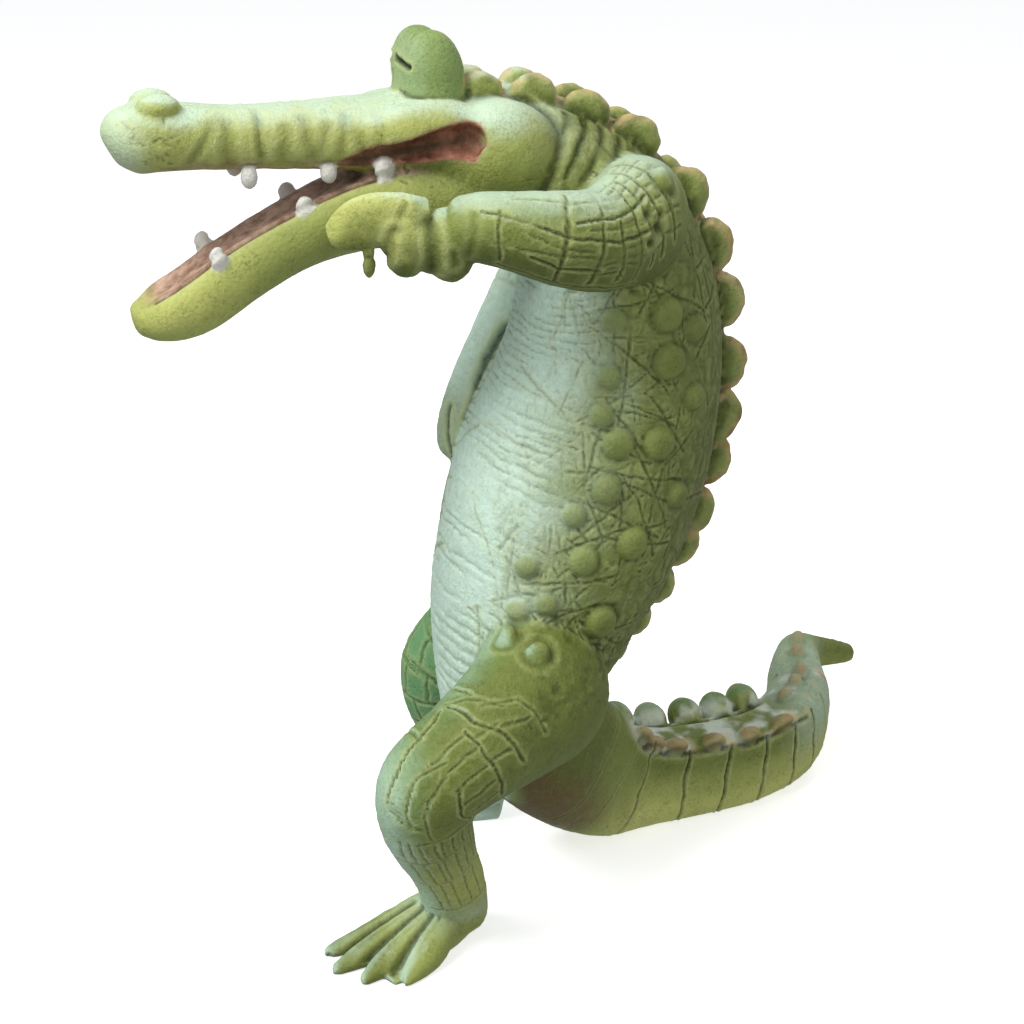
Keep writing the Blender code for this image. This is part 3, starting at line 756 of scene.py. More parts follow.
leg_lines = path((0.36, -94), (0.40, -84), (0.435, -75), (0.475, -64))
leg_lines += path((0.425, -2), (0.445, 18), (0.50, 42))
leg_lines += path((0.34, -90), (0.328, -51), (0.304, -22), (0.29, 10))
leg_lines += path((0.355, -52), (0.352, -26), (0.35, 2), (0.352, 40))
strokes("near_leg", leg_lines, 0.42, 0.5, 0.5, whole=True)
leg_lines = path((0.34, -96), (0.27, -44)) + path((0.422, -38), (0.455, -42), (0.49, -33))
leg_lines += path((0.43, -22), (0.47, -16), (0.53, -9)) + path((0.30, -60), (0.24, -40), (0.22, 0))
leg_lines += path((0.352, -40), (0.30, -34)) + path((0.35, -12), (0.305, -6))
leg_lines += path((0.30, -30), (0.245, -22)) + path((0.48, -62), (0.492, -20))
leg_lines += path((0.528, -28), (0.512, 45)) + path((0.59, -66), (0.59, 66))
leg_lines += path((0.72, -70), (0.715, 66)) + path((0.87, -60), (0.865, 60))
leg_lines += [((0.53, a), (0.59, a + 2)) for a in (-52, -38, -26, -10, -2, 14, 30, 44)]
leg_lines += [((0.59, a), (0.72, a + 3)) for a in (-46, -30, -14, -6, 12, 28, 46)]
leg_lines += [((0.72, a), (0.87, a + 3)) for a in (-40, -24, -8, 14, 34)]
leg_lines += [((ring, a), (ring, a + 90)) for ring in (0.3, 0.42, 0.55, 0.68, 0.8) for a in (75, -165)]
leg_lines += [((0.36, a), (0.43, a + 5)) for a in (-50, -30, -8, 12, 30)]
strokes("near_leg", leg_lines, 0.38, 0.36, 0.42, whole=True)
bricks("far_leg", (0.2, 0.28, 0.36, 0.44, 0.53, 0.62, 0.7, 0.78, 0.86), 40, first=20, dark=0.45)

belts = ((0.135, 0.3), (0.215, 0.35), (0.30, 1.1), (0.412, 1.25), (0.488, 1.25), (0.557, 1.1), (0.62, 0.9))
belts += ((0.665, 0.9), (0.71, 0.7), (0.76, 0.6), (0.81, 0.5), (0.86, 0.4))
for ring, depth in belts:
    for side in (1, -1):
        stops = ((ring + 0.014, 44), (ring - 0.003, 88), (ring - 0.004, 128), (ring, 165))
        belt = path(*((at, angle * side) for at, angle in stops))
        strokes("tail", belt, 0.32 + 0.2 * depth, 0.85 * depth, 0.85, side)
grooves = [((0.23, 47 * side), (0.66, 47 * side)) for side in (1, -1)] + [((0.2, 14), (0.62, 12))]
strokes("tail", grooves, 0.9, 0.7, 0.7)
along, degrees, _, tail_length, _ = places["tail"]
tail_share = along / tail_length
tail_turn = np.abs(degrees)
on_tail = owned["tail"]
scored = np.maximum(0, np.cos(2 * np.pi * (along + 1.2 * waver) / 1.9)) ** 2
swell -= 0.10 * scored * on_tail * ramp(0.2, 0.6, noise(skin, 10, 31))
print("tail belts:", len(belts))

# %% [markdown]
# ## The head, the hands and the feet
#
# The long snout has soft upright folds above the lip and small pits near the nostrils. The cheek is
# a round cushion with a crease behind it. The narrowed eyes are dark slits. Grooves part the toes
# and the fingers. A groove runs round the finger that lies along the jaw, with painted shade in it,
# and the finger's upturned top gets a painted highlight.

# %% Tool lines on the head, hands and feet
SNOUT_FOLDS = (-45, -50, -54, -60, -64, -70, -77, -86, -93)
EYE_CUTS = (
    ((-2.5, 276.2), (8.8, 274.6), 0.7, 1.0), ((-7, 276.4), (-13.5, 274.8), 0.7, 1.0),
    ((-4.8, 272.4), (-3.6, 269.5), 0.5, 0.5), ((1.5, 283.0), (3.5, 281.5), 0.4, 0.3),
)
HAND_CREASES = (
    ((-37.5, 237), (-36.5, 224), 1.5, 0.5), ((-47, 235), (-48.5, 227), 1.2, 0.45),
    ((-43, 242), (-45.5, 238), 0.8, 0.35), ((-32, 229), (-31, 226), 1.0, 0.4),
    ((-27, 240), (-28, 229), 0.8, 0.25),
)
x, y, z = skin.T
on_upper, on_lower = owned["upper_jaw"], owned["lower_jaw"]
upper_turn = np.abs(places["upper_jaw"][1])
lower_turn = np.abs(places["lower_jaw"][1])

rng = np.random.default_rng(23)
for side in (1, -1):
    for y_fold in SNOUT_FOLDS:
        top, lean, strength = 262 + rng.uniform(-2, 2), rng.normal(0, 1.2), rng.uniform(0.25, 0.7)
        where = np.flatnonzero((on_upper > 0.3) & (x * side > 4) & (np.abs(y - y_fold) < 8))
        start, end = (y_fold + lean, top), (y_fold - lean, 252)
        near = from_line(y[where] + waver[where], z[where] + waver_2[where], start, end)
        press(where, near, rng.uniform(1.0, 1.8), strength, 0.35)
    where = np.flatnonzero((on_upper > 0.3) & (x * side > 4) & (y < -44) & (y > -104))
    lip = z[where] - 250.8 - 0.6 * waver[where]
    press(where, np.abs(lip), 0.6, 0.3, 0.4)
    where = np.flatnonzero((on_lower > 0.3) & (x * side > 4) & (y < -40) & (y > -108) & (lower_turn < 100))
    press(where, np.abs(lower_turn[where] - 47) * 0.2 + 0.4 * np.abs(waver[where]), 0.7, 0.5, 0.8)

for side in (1, -1):
    for low, high, marks, y_0, y_1 in ((251, 263, 16, -112, -99), (244, 251, 8, -44, -34)):
        where = np.flatnonzero((x * side > 4) & (y > y_0 - 6) & (y < y_1 + 6) & (z > 240))
        for _ in range(marks):
            y_mark, z_mark = rng.uniform(y_0, y_1), rng.uniform(low, high)
            turn = rng.uniform(0, math.pi)
            reach = rng.uniform(0.6, 2.0)
            end = (y_mark + reach * math.cos(turn), z_mark + reach * math.sin(turn))
            near = from_line(y[where], z[where], (y_mark, z_mark), end)
            press(where[near < 2], near[near < 2], 0.36, 0.3, 0.6)


def ball_reach(centre, radii, tilt, side=1):
    """How far out each point is from a lump, where 1 is the lump's skin."""
    turned = Matrix.Rotation(math.radians(-tilt), 3, "X")
    away = (skin - mirrored(centre, side)) @ np.array(turned).T
    return np.linalg.norm(away / radii, axis=1)


for side in (1, -1):
    cheek = ball_reach(*CHEEK, side)
    behind = np.flatnonzero((cheek < 1.4) & (y > -9) & (x * side > 5))
    press(behind, np.abs(cheek[behind] - 1.07) * 14, 1.0, 0.9 * ramp(-9, 2, y[behind]), 0.8)
    eye = ball_reach(*EYE_MOUND, side)
    under_eye = np.flatnonzero((eye < 1.4) & (z < 268) & (z > 261))
    press(under_eye, np.abs(eye[under_eye] - 1.12) * 10, 0.9, 0.35, 0.35)

slit = np.zeros(count)
eyes = np.minimum(ball_reach(*EYE_MOUND, 1), ball_reach(*EYE_MOUND, -1))
lid = np.flatnonzero((np.minimum(eyes, ball_reach(*EYE_BRIDGE)) < 1.15) & (facing[:, 1] < 0.1))
for start, end, width, depth in EYE_CUTS:
    near = from_line(x[lid], z[lid], start, end)
    press(lid, near, width, depth, 1.0)
    slit[lid] = np.maximum(slit[lid], np.exp(-((near / width) ** 2)) * min(1, depth))

for heel in (NEAR_HEEL, FAR_HEEL):
    around = (z < 16) & (z > 0.5) & (np.hypot(x - heel[0], y - heel[1]) < 50) & (facing[:, 2] > 0)
    where = np.flatnonzero(around)
    for (spread, reach, _), (next_spread, next_reach, _) in zip(TOES, TOES[1:]):
        start = foot_place(heel, 12, (spread + next_spread) / 2 * 0.5, 0)[:2]
        end = foot_place(heel, (reach + next_reach) / 2 - 3, (spread + next_spread) / 2, 0)[:2]
        press(where, from_line(x[where], y[where], start, end), 1.0, 0.5, 0.9)
    for spread, reach, _ in TOES:
        start = foot_place(heel, reach * 0.3, spread * 0.5, 0)[:2]
        end = foot_place(heel, reach * 0.8, spread * 0.9, 0)[:2]
        near = from_line(x[where] + waver[where], y[where], start, end)
        press(where, near, 0.4, 0.22 * broken[where], 0.5)

hand = np.flatnonzero((y < -24) & (y > -64) & (x > 22) & (z > 214) & (z < 248))
for start, end, width, depth in HAND_CREASES:
    near = from_line(y[hand] + 0.6 * waver[hand], z[hand], start, end)
    press(hand, near, width, depth, 0.55)
_, _, from_finger, _, _ = measured(skin, FINGER, (0, 0, 1), 2.0)
on_finger = ramp(1.35, 1.1, from_finger) * ramp(-42, -47, y)
# A groove round the finger, with painted shade where it meets the jaw
beside_finger = np.exp(-(((from_finger - 1.45) / 0.22) ** 2)) * ramp(-42, -47, y) * (x > 14)
swell -= 0.6 * beside_finger
wash_and_painted_shade = np.maximum(wash_and_painted_shade, 0.8 * beside_finger)
# A painted highlight on the finger's upturned top
light = np.maximum(light, 0.9 * on_finger * ramp(0.45, 0.9, facing[:, 2]))
print("slit points:", int((slit > 0.5).sum()))

# %% [markdown]
# ## Lay the relief on the skin
#
# All marks are moved along the skin's own direction at once. A fine grain of clay goes on top. The
# hollows of the finished skin are then measured, because a wash runs into every hollow, painted
# shade darkens every hollow as well, and a dry brush only touches what stands out.

# %% Move the skin and measure its hollows
grain = 0.10 * noise(skin, 1.6, 41) + 0.12 * noise(skin, 4.5, 42)
calm = 1 - 0.6 * np.maximum(on_upper, on_lower)
relief = dent + burr + swell + grain * calm
relief[z < 0.8] = 0
marked = skin + facing * relief[:, None]


def rubbed(points, rounds):
    """The points after being rubbed towards their neighbours this many times."""
    neighbours = np.bincount(edges.ravel(), minlength=count)[:, None]
    for _ in range(rounds):
        total = np.stack(
            [
                np.bincount(edges[:, 0], points[edges[:, 1], k], count)
                + np.bincount(edges[:, 1], points[edges[:, 0], k], count)
                for k in range(3)
            ],
            axis=1,
        )
        points = 0.5 * points + 0.5 * total / neighbours
    return points


finished = normals_of(marked)
wide_hollow = ((rubbed(marked, 40) - marked) * finished).sum(1)
fine_hollow = ((rubbed(marked, 6) - marked) * finished).sum(1)
print("hollows run from", round(float(wide_hollow.min()), 2), "to", round(float(wide_hollow.max()), 2))

# %% [markdown]
# ## Where each paint goes
#
# Pale mint is painted on the belly and throat, and as painted light on the forehead, eye fronts,
# arms, hand and knees where they face up or to the front. Dark olive is painted shade on the back of
# the body and on all that faces away from the front, and it is also the figure's own darker olive on
# the hip, the bumps, the neck and the tail's root. The rims of the back plates get cream, and rust
# where they are touched most, and the tail's crest is worn pale in patches. The mouth is brown-pink
# and the teeth are off-white. Each paint becomes one number per point, from 0 to 1, and the material
# mixes them.

# %% Masks for the paints
def most(*masks):
    """The strongest of these masks at each point."""
    return np.max(masks, axis=0)


lift = finished[:, 2]
ahead = -finished[:, 1]
uneven = noise(skin, 9, 51)
on_arm, on_leg = owned["near_arm"], owned["near_leg"]
on_head = ramp(18, -4, y + 3 * uneven) * ramp(236, 244, z) * (1 - on_arm)
on_eyes = ramp(1.25, 1.05, np.minimum(eyes, ball_reach(*EYE_BRIDGE))) * ramp(264, 267, z)
on_hand = np.where((y < -24) & (x > 21) & (z < 248) & (z > 212), 1.0, 0.0)
near_foot = ramp(22, 12, z) * (x > 0) * (y < 0)

on_cheek = ramp(1.3, 0.9, np.minimum(ball_reach(*CHEEK, 1), ball_reach(*CHEEK, -1)))
on_shin = on_leg * ramp(66, 50, z)
as_torso = most(on_torso, on_leg * ramp(76, 98, z))
# How far each point faces the front, where the key light comes from; painted light and painted shade below
# follow it
to_front = ramp(-0.7, 0.2, finished @ np.array((0.6, -0.8, 0)))

# Pale mint: the belly's, snout tip's and far foot's own paint, and painted light where the head, eyes, arms,
# hand, legs and far arm face up or to the front
mint_and_painted_light = most(
    on_torso * ramp(92, 152, turned + 12 * uneven) * (1 - on_head) * (1 - 0.7 * on_bump),
    0.7 * on_head * ramp(0.25, 0.9, lift + 0.2 * uneven) * ramp(244, 252, z),
)
mint_and_painted_light = most(
    mint_and_painted_light * (1 - on_eyes),
    0.15 * on_eyes * ramp(0.2, 0.9, ahead),
    0.5 * on_upper * ramp(-104, -114, y),
    0.6 * on_arm * ramp(0.4, 1.0, lift + 0.1 * uneven),
    0.3 * on_hand * ramp(0.5, 1.0, lift),
    0.5 * on_leg * ramp(0.4, 0.95, ahead + 0.1 * uneven),
    0.65 * on_shin * ramp(0.1, 0.8, ahead + 0.1 * uneven),
    0.3 * near_foot * ramp(8, 14, z),
    owned["far_arm"] * (1 - 0.55 * ramp(176, 160, z)) * (0.15 + 0.85 * to_front),
    0.9 * ramp(24, 12, z) * (x < 0) * (y < 20),
)
# Dark olive: painted shade on the back of the body, under the arm and cheek and on the limb sides that face
# away, with the figure's own darker olive on bumps, eyes, neck, hip, toes and tail root
deep = most(
    0.95 * as_torso * ramp(112, 44, turned + 14 * uneven) * (1 - on_head),
    0.3 * on_bump,
    0.4 * on_eyes,
    0.5 * on_torso * ramp(0.76, 0.82, share) * (1 - on_head),
    0.9 * on_arm * ramp(0.65, -0.5, lift),
    0.7 * hip,
    0.6 * (owned["far_arm"] + owned["far_leg"]) * (1 - to_front),
    0.3 * on_cheek * ramp(0.5, -0.1, lift),
    0.6 * on_leg * ramp(0.9, 0.4, ahead) * ramp(44, 62, z),
    0.65 * near_foot * ramp(-46, -58, y),
    0.8 * on_tail * ramp(0.2, 0.1, tail_share),
)
green = most(
    0.95 * owned["far_leg"] * ramp(18, 30, z) * (0.2 + 0.8 * to_front),
    0.5 * on_leg * ramp(0.2, 0.8, ahead),
    0.35 * on_eyes,
)

rim, rust, plate_face, on_knob = np.zeros((4, count))
chips = noise(skin, 3.0, 58)
for k, (point, normal, tangent, reach, length) in enumerate(plates):
    away = skin - point
    height = (away @ normal - PLATE_LIFT) / reach
    from_middle = np.hypot((away @ tangent) / length, height)
    aside = np.abs(away @ np.cross(normal, tangent))
    on_plate = (from_middle < 1.2) & (height > 0.0) & (aside < 5)
    place_in_row = k // 2
    inner = 0.6 + 0.14 * (place_in_row > 9)
    edge = np.where(on_plate, ramp(inner, inner + 0.24, from_middle + 0.12 * waver), 0)
    warmth = max(math.exp(-(((place_in_row - 5.5) / 2.2) ** 2)), 0.55 * (place_in_row > 8))
    edge *= 0.45 + 0.55 * min(1, place_in_row / 4)
    edge *= ramp(-0.75, 0.1, chips) if place_in_row < 5 else ramp(-1.0, -0.1, chips)
    rim = np.maximum(rim, edge)
    rust = np.maximum(rust, edge * warmth)
    face = np.where(on_plate, ramp(0.15, 0.45, height), 0)
    green = np.maximum(green, 0.08 * face)
    plate_face = np.maximum(plate_face, face)
    deep *= 1 - 0.65 * face
for point, normal, tangent, size in knobs:
    away = skin - point
    height = (away @ normal) / (KNOB_REACH * size)
    wide = np.linalg.norm(away - np.outer(away @ normal, normal), axis=1) / (KNOB_REACH * size)
    top = np.where(wide < 1.3, ramp(0.1, 0.7, height), 0)
    on_knob = np.maximum(on_knob, top)
    if size > 1:
        green = np.maximum(green, 0.5 * top)
        rim = np.maximum(rim, 0.3 * top * ramp(0.7, 1.0, height))
    else:
        rim = np.maximum(rim, 0.9 * top * ramp(-0.3, 0.3, noise(skin, 2.5, 54)))
        rust = np.maximum(rust, 0.8 * top)
crest = on_tail * ramp(56, 40, tail_turn)
crest = crest * ramp(0.17, 0.24, tail_share) * ramp(0.9, 0.8, tail_share)
patches = noise(skin, 5, 53) + 0.6 * noise(skin, 2.0, 55) + 0.9 * ramp(0.4, 0.26, tail_share) + 0.25
patches -= 0.5 * ramp(0.55, 0.66, tail_share)
pale = crest * ramp(0.0, 0.45, patches) * (1 - 0.7 * on_knob)
worn = ramp(-0.1, 0.35, noise(skin, 3.4, 52)) * ramp(0.9, 0.75, tail_share)
near_row = crest * ramp(14, 26, -degrees) * worn
rust = np.maximum(rust, near_row * ramp(-0.2, 0.3, noise(skin, 5, 56)))
rim = most(rim, rust * on_tail, near_row)

gum = np.zeros(count)
for side in (1, -1):
    _, _, corner, _, _ = measured(skin, [mirrored(row, side) for row in MOUTH_CORNER], (0, 0, 1), 2.0)
    gum = np.maximum(gum, ramp(1.3, 1.08, corner) * ramp(-15.5, -17, y))
parting = from_line(y, z + 0.4 * waver, (-21, 255.6), (-52, 249.6))
wash_and_painted_shade = np.maximum(wash_and_painted_shade, 0.85 * (gum > 0.3) * np.exp(-((parting / 1.1) ** 2)))
trough = on_lower * ramp(54, 44, lower_turn) * ramp(0.9, 0.4, -facing[:, 2])
lip_tint = 0.5 * on_upper * ramp(112, 132, upper_turn) * ramp(-104, -92, y)
mouth = most(
    gum,
    trough * ramp(-112, -104, y),
    on_upper * ramp(140, 165, upper_turn),
    lip_tint * ramp(-0.4, 0.4, noise(skin, 6, 57)),
)
tooth = np.zeros(count)
for centre, length in teeth:
    reach = np.linalg.norm((skin - centre) / (TOOTH_WIDTH, TOOTH_ALONG, length), axis=1)
    tooth = np.maximum(tooth, ramp(1.2, 1.02, reach))

low_tail = ramp(62, 112, tail_turn)
tail_end = 0.5 * on_tail * ramp(0.58, 0.7, tail_share) * ramp(0.95, 0.82, tail_share)
mint_and_painted_light = most(mint_and_painted_light, tail_end * (1 - low_tail))
deep = most(
    deep,
    0.4 * on_tail * (1 - low_tail) * ramp(0.75, 0.6, tail_share),
    0.6 * on_tail * ramp(0.86, 0.93, tail_share),
)
yellow = most(
    0.4 * on_cheek,
    0.9 * np.where((y < -41) & (x > 20) & (z > 226), 1, 0),
    0.4 * plate_face,
    on_tail * ramp(0.16, 0.34, tail_share) * low_tail,
    0.25 * near_foot,
    0.5 * on_leg * ramp(50, 30, z) * (1 - near_foot),
    on_lower * (0.65 - 0.4 * ramp(-92, -70, y)),
    0.5 * on_upper,
    0.4 * on_eyes * ramp(0.5, -0.2, ahead),
)
mauve = on_tail * ramp(0.3, 0.14, tail_share + 0.06 * uneven) * ramp(80, 125, tail_turn)

# The wash in the pressed lines, plus painted shade in the wide and fine hollows of the skin
wash_and_hollow_shade = np.clip(wash_and_painted_shade, 0, 1) + 0.6 * ramp(0.10, 0.55, wide_hollow)
wash_and_hollow_shade = wash_and_hollow_shade + 0.45 * ramp(0.06, 0.3, fine_hollow)
wash_and_hollow_shade = np.clip(wash_and_hollow_shade, 0, 1) * (1 - 0.45 * belly)
light = np.maximum(0.9 * light, 0.8 * ramp(0.05, 0.22, -fine_hollow)) * (1 - wash_and_hollow_shade)
light *= 1 - np.maximum(0.6 * near_foot, 0.5 * on_bump)

paints = {
    "mint_and_painted_light": mint_and_painted_light, "deep": deep, "wash_and_painted_shade": wash_and_hollow_shade, "light": light, "pale": pale, "rim": rim,
    "rust": rust, "mouth": mouth, "gum": gum, "tooth": tooth, "yellow": yellow, "mauve": mauve,
    "green": green, "slit": slit,
}
paints = {name: np.clip(mask, 0, 1) for name, mask in paints.items()}
print("paint shares:", {name: round(float(mask.mean()), 2) for name, mask in paints.items()})

# %% [markdown]
# ## One casting
#
# The finished skin has far more points than it needs. It is thinned, least where lines are pressed
# on the side that is looked at, and most on the smooth parts and on the side that faces away. What
# is under the ground is cut off, which leaves flat soles.

# %% Thin the skin and stand it flat
TRIANGLES = 196000
FINISH = 0.9965
THINNING_STEPS, THINNING_STEP = 18, 0.05
skin_mesh.vertices.foreach_set("co", marked.ravel())
for name, mask in paints.items():
    layer = skin_mesh.attributes.new(name, "FLOAT", "POINT")
    layer.data.foreach_set("value", mask.astype(np.float32))
cast = in_scene("crocodile_cast", skin_mesh)

looked_at = ramp(-0.35, 0.15, finished @ np.array((0.88, -0.32, 0.36)))
lined = np.maximum(np.maximum(wash_and_hollow_shade, light), np.maximum(rim, tooth))
kept = 0.85 * looked_at * (0.35 + 0.65 * ramp(0.1, 0.5, lined))
group = cast.vertex_groups.new(name="may be thinned")
for step in range(THINNING_STEPS):
    low, high = step * THINNING_STEP, (step + 1) * THINNING_STEP
    chosen = np.flatnonzero((kept >= low) & (kept < high))
    group.add(chosen.tolist(), 1 - low, "REPLACE")
fewer = cast.modifiers.new("facets", "DECIMATE")
fewer.ratio = TRIANGLES / (2 * len(skin_mesh.polygons))
fewer.vertex_group = group.name
fewer.vertex_group_factor = 0.02
cast.data = applied(cast, keep=True)
cast.vertex_groups.clear()
cast.data.transform(Matrix.Scale(UNIT * FINISH, 4) @ Matrix.Translation(Vector(-BOX_CENTRE)))

bm = bmesh.new()
bm.from_mesh(cast.data)
everything = bm.verts[:] + bm.edges[:] + bm.faces[:]
cut = bmesh.ops.bisect_plane(
    bm, geom=everything, dist=1e-6, plane_co=(0, 0, 0), plane_no=(0, 0, -1), clear_outer=True
)
rim_edges = [item for item in cut["geom_cut"] if isinstance(item, bmesh.types.BMEdge)]
bmesh.ops.holes_fill(bm, edges=rim_edges, sides=0)
bmesh.ops.triangulate(bm, faces=[face for face in bm.faces if len(face.verts) > 3])
bmesh.ops.recalc_face_normals(bm, faces=bm.faces)
print("casting:", len(bm.faces), "triangles, open edges:", sum(not edge.is_manifold for edge in bm.edges))
bm.to_mesh(cast.data)
bm.free()
cast.data.shade_smooth()

# %% [markdown]
# ## The paint
#
# One material holds all the paints. Each number from above blends one colour over the last, and
# noise breaks the blend up, as a brush and a sponge do. Pale mint is partly painted light, dark olive
# partly painted shade, and the hollows carry painted shade with the wash. The wash is darkest in the
# lines. The surface is a satin varnish with a fine grain, a little rougher where the dark wash and
# the painted shade of the hollows lie.

# %% Colours as they look on the figure
def colour(red, green_part, blue):
    """A colour as a screen shows it, from 0 to 255, in the renderer's own scale."""
    return tuple((v / 255) ** 2.2 for v in (red, green_part, blue)) + (1.0,)


OLIVE = colour(142, 155, 80)
OLIVE_DEEP = colour(88, 100, 38)
MINT = colour(214, 242, 226)
YELLOW_GREEN = colour(212, 216, 122)
GREEN = colour(112, 164, 112)
WASH = colour(50, 56, 30)
PALE = colour(228, 238, 226)
DRY_BRUSH = colour(202, 208, 140)
CREAM = colour(212, 196, 146)
RUST = colour(178, 118, 66)
MOUTH_PINK = colour(204, 170, 150)
MOUTH_BROWN = colour(132, 98, 74)
GUM_PINK = colour(170, 116, 94)
GUM_BROWN = colour(108, 62, 46)
TOOTH_WHITE = colour(222, 220, 212)
MAUVE = colour(112, 88, 54)
SLIT_BLACK = colour(20, 24, 18)

paint = bpy.data.materials.new("hand painted resin")
paint.use_nodes = True
nodes, links = paint.node_tree.nodes, paint.node_tree.links
shader = nodes["Principled BSDF"]
place = nodes.new("ShaderNodeTexCoord").outputs["Object"]


def feed(socket, value):
    """A socket that takes another socket's value, or a plain number or colour."""
    if isinstance(value, bpy.types.NodeSocket):
        links.new(value, socket)
    else:
        socket.default_value = value


def mask_of(name):
    """The number that each point of the skin holds under this name."""
    node = nodes.new("ShaderNodeAttribute")
    node.attribute_name = name
    return node.outputs["Fac"]


def speckle(scale, detail=3.0, roughness=0.6, low=0.35, high=0.65):
    """Noise of this scale, in lumps per metre, spread to the full range."""
    node = nodes.new("ShaderNodeTexNoise")
    for name, value in (("Vector", place), ("Scale", scale), ("Detail", detail), ("Roughness", roughness)):
        feed(node.inputs[name], value)
    spread = nodes.new("ShaderNodeMapRange")
    for name, value in (("From Min", low), ("From Max", high), ("Value", node.outputs["Fac"])):
        feed(spread.inputs[name], value)
    return spread.outputs["Result"]


def sum_of(kind, a, b, third=None):
    """A math node on sockets or plain numbers."""
    node = nodes.new("ShaderNodeMath")
    node.operation = kind
    node.use_clamp = kind in ("MULTIPLY", "ADD", "MULTIPLY_ADD")
    for socket, value in zip(node.inputs, (a, b, third)):
        if value is not None:
            feed(socket, value)
    return node.outputs[0]


def dabbed(name, texture, spread, least):
    """A mask that a noise breaks up, down to its least share."""
    return sum_of("MULTIPLY", mask_of(name), sum_of("MULTIPLY_ADD", texture, spread, least))


def laid_over(under, over, amount):
    """One colour blended over another."""
    node = nodes.new("ShaderNodeMix")
    node.data_type = "RGBA"
    for name, value in (("A", under), ("B", over), ("Factor", amount)):
        feed(node.inputs[name], value)
    return node.outputs["Result"]


cloud = speckle(45, 4)
sponge = speckle(420, 3, 0.7)
grit = sum_of("MULTIPLY", speckle(800, 6, 0.8, 0.48, 0.66), speckle(130, 2, 0.5, 0.3, 0.62))
streaks = speckle(220, 4)
tone = laid_over(OLIVE, OLIVE_DEEP, sum_of("MULTIPLY", cloud, 0.35))
tone = laid_over(tone, YELLOW_GREEN, dabbed("yellow", cloud, 0.4, 0.6))
# Dark olive: painted shade where the figure faces away from the front, and its own darker olive
tone = laid_over(tone, OLIVE_DEEP, dabbed("deep", sponge, 0.3, 0.7))
tone = laid_over(tone, GREEN, mask_of("green"))
# Pale mint: the figure's own pale paint, and painted light where it faces up or to the front
tone = laid_over(tone, MINT, dabbed("mint_and_painted_light", sponge, 0.2, 0.8))
tone = laid_over(tone, MAUVE, dabbed("mauve", sponge, 0.5, 0.5))
dirt = sum_of("MULTIPLY", grit, sum_of("MULTIPLY_ADD", mask_of("mint_and_painted_light"), -0.3, 0.55))
tone = laid_over(tone, WASH, dirt)
tone = laid_over(tone, PALE, sum_of("MULTIPLY", mask_of("pale"), 0.85))
# Dry brush on burrs and raised edges, and the finger's painted highlight
tone = laid_over(tone, DRY_BRUSH, dabbed("light", sponge, 0.4, 0.25))
rim_tone = laid_over(CREAM, RUST, dabbed("rust", speckle(160, 3), 0.6, 0.4))
tone = laid_over(tone, rim_tone, dabbed("rim", sponge, 0.6, 0.35))
mouth_tone = laid_over(MOUTH_PINK, MOUTH_BROWN, streaks)
mouth_tone = laid_over(mouth_tone, laid_over(GUM_PINK, GUM_BROWN, streaks), mask_of("gum"))
tone = laid_over(tone, mouth_tone, mask_of("mouth"))
# The wash in the lines, and the painted shade in the hollows and round the finger
tone = laid_over(tone, WASH, dabbed("wash_and_painted_shade", sponge, 0.2, 0.66))
tone = laid_over(tone, TOOTH_WHITE, mask_of("tooth"))
tone = laid_over(tone, SLIT_BLACK, mask_of("slit"))
links.new(tone, shader.inputs["Base Color"])

links.new(sum_of("MULTIPLY_ADD", mask_of("wash_and_painted_shade"), 0.15, 0.58), shader.inputs["Roughness"])
shader.inputs["Specular IOR Level"].default_value = 0.35
bump = nodes.new("ShaderNodeBump")
bump.inputs["Strength"].default_value = 0.6
bump.inputs["Distance"].default_value = 0.0004
links.new(sum_of("MULTIPLY_ADD", speckle(900, 4, 0.65), 0.6, 0.2), bump.inputs["Height"])
links.new(bump.outputs["Normal"], shader.inputs["Normal"])
cast.data.materials.clear()
cast.data.materials.append(paint)

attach(cast, "root")
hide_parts("crocodile")
print("paint nodes:", len(nodes))

# %% [markdown]
# ## The stage
#
# The figure stands on a plain pale floor in soft studio light. The main light is large and comes
# from the figure's front and above, so the belly and the top of the snout are brightest and the
# back plates fall into a soft shade. The camera looks at its left side from a little above.

# %% Floor, lights and camera
bpy.ops.mesh.primitive_plane_add(size=30, location=(0, 0, 0))
floor = bpy.context.object
floor.name = "floor"
floor_paint = bpy.data.materials.new("pale floor")
floor_paint.use_nodes = True
floor_shader = floor_paint.node_tree.nodes["Principled BSDF"]
floor_shader.inputs["Base Color"].default_value = (0.8, 0.8, 0.8, 1)
floor_shader.inputs["Roughness"].default_value = 0.9
floor_shader.inputs["Emission Color"].default_value = (1, 1, 1, 1)
floor_shader.inputs["Emission Strength"].default_value = 0.62
floor.visible_diffuse = False
floor.visible_glossy = False
floor.data.materials.append(floor_paint)
floor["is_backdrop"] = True

CAMERA_TARGET = Vector((0.0121, -0.0265, 0.135))
CAMERA_AZIMUTH, CAMERA_ELEVATION, CAMERA_DISTANCE = math.radians(70), math.radians(21), 0.60
FOCAL_PIXELS, PICTURE_PIXELS, SENSOR_WIDTH = 1932, 1024, 36
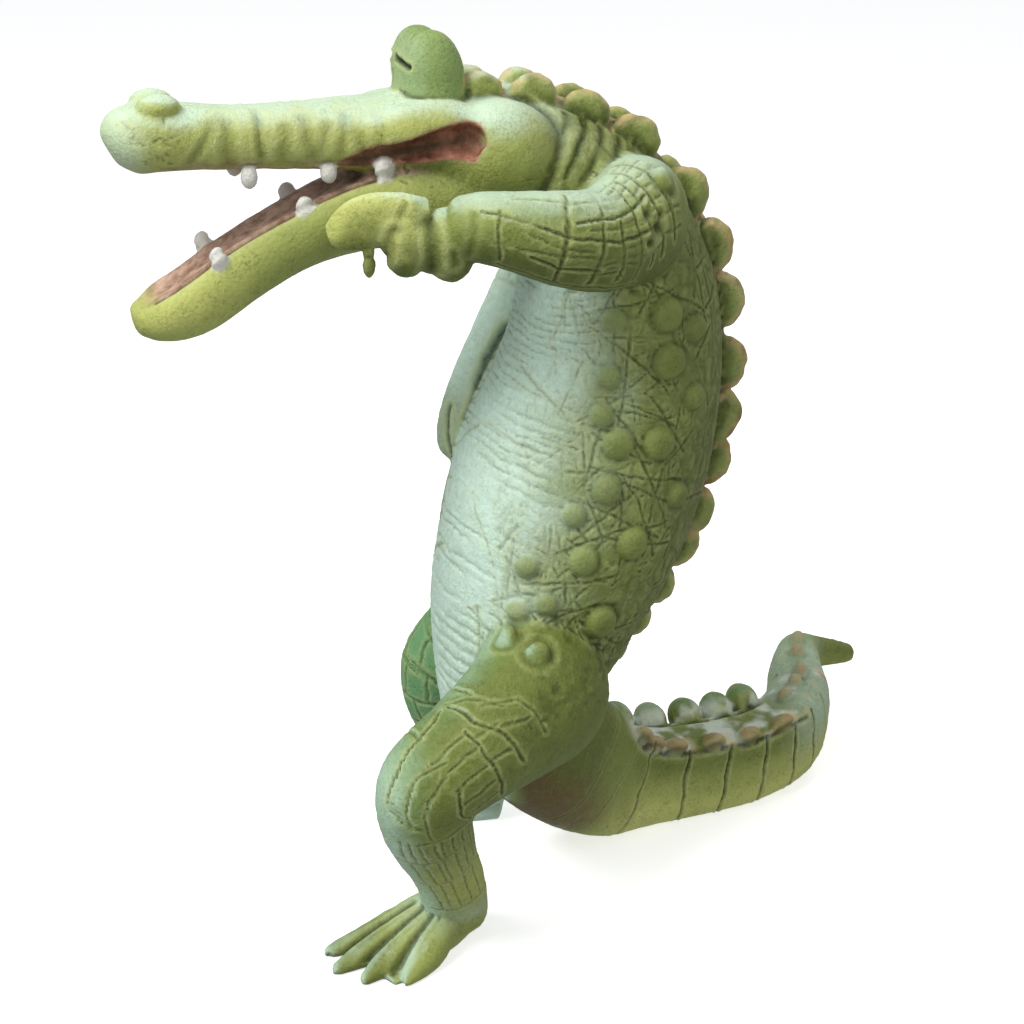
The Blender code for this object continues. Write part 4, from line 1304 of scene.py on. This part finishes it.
LAMP_TARGET = Vector((0, 0, 0.14))


def out_at(azimuth, elevation):
    """The direction from the figure at these angles, where azimuth 0 is its front."""
    level = math.cos(elevation)
    return Vector((math.sin(azimuth) * level, -math.cos(azimuth) * level, math.sin(elevation)))


def lamp(name, azimuth, elevation, distance, size, power, tint):
    """A round soft lamp that looks at the figure, with its angles in degrees."""
    light = bpy.data.lights.new(name, "AREA")
    light.shape = "DISK"
    light.size = size
    light.energy = power
    light.color = tint
    holder = in_scene(name, light)
    away = out_at(math.radians(azimuth), math.radians(elevation))
    holder.location = LAMP_TARGET + away * distance
    holder.rotation_euler = away.to_track_quat("Z", "Y").to_euler()


lamp("key", 20, 52, 1.3, 0.7, 15, (1.0, 0.99, 0.97))
lamp("fill", 95, 35, 1.6, 1.0, 3.4, (1.0, 0.99, 0.96))
lamp("rim light", 215, 40, 1.5, 0.7, 3, (1.0, 0.98, 0.95))

world = bpy.data.worlds.new("studio")
world.use_nodes = True
sky = world.node_tree.nodes["Background"]
sky.inputs["Color"].default_value = (0.95, 0.98, 1.0, 1)
sky.inputs["Strength"].default_value = 0.42
bpy.context.scene.world = world
bpy.context.scene.view_settings.view_transform = "Standard"

camera_data = bpy.data.cameras.new("camera")
camera_data.sensor_width = SENSOR_WIDTH
camera_data.lens = FOCAL_PIXELS / PICTURE_PIXELS * SENSOR_WIDTH
camera = in_scene("camera", camera_data)
back_to_camera = out_at(CAMERA_AZIMUTH, CAMERA_ELEVATION)
camera.location = CAMERA_TARGET + back_to_camera * CAMERA_DISTANCE
camera.rotation_euler = back_to_camera.to_track_quat("Z", "Y").to_euler()
bpy.context.scene.camera = camera
print("camera at", [round(v, 3) for v in camera.location])

# %% [markdown]
# ## Check the size
#
# The casting has to stay inside the solid's box. Both boxes are written down and compared.

# %% Write both boxes and finish
shown_low, shown_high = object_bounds()
grown = [round(1000 * (b - a), 2) for a, b in zip((*solid_low, *solid_high), (*shown_low, *shown_high))]
print("box grew by, in mm:", grown)
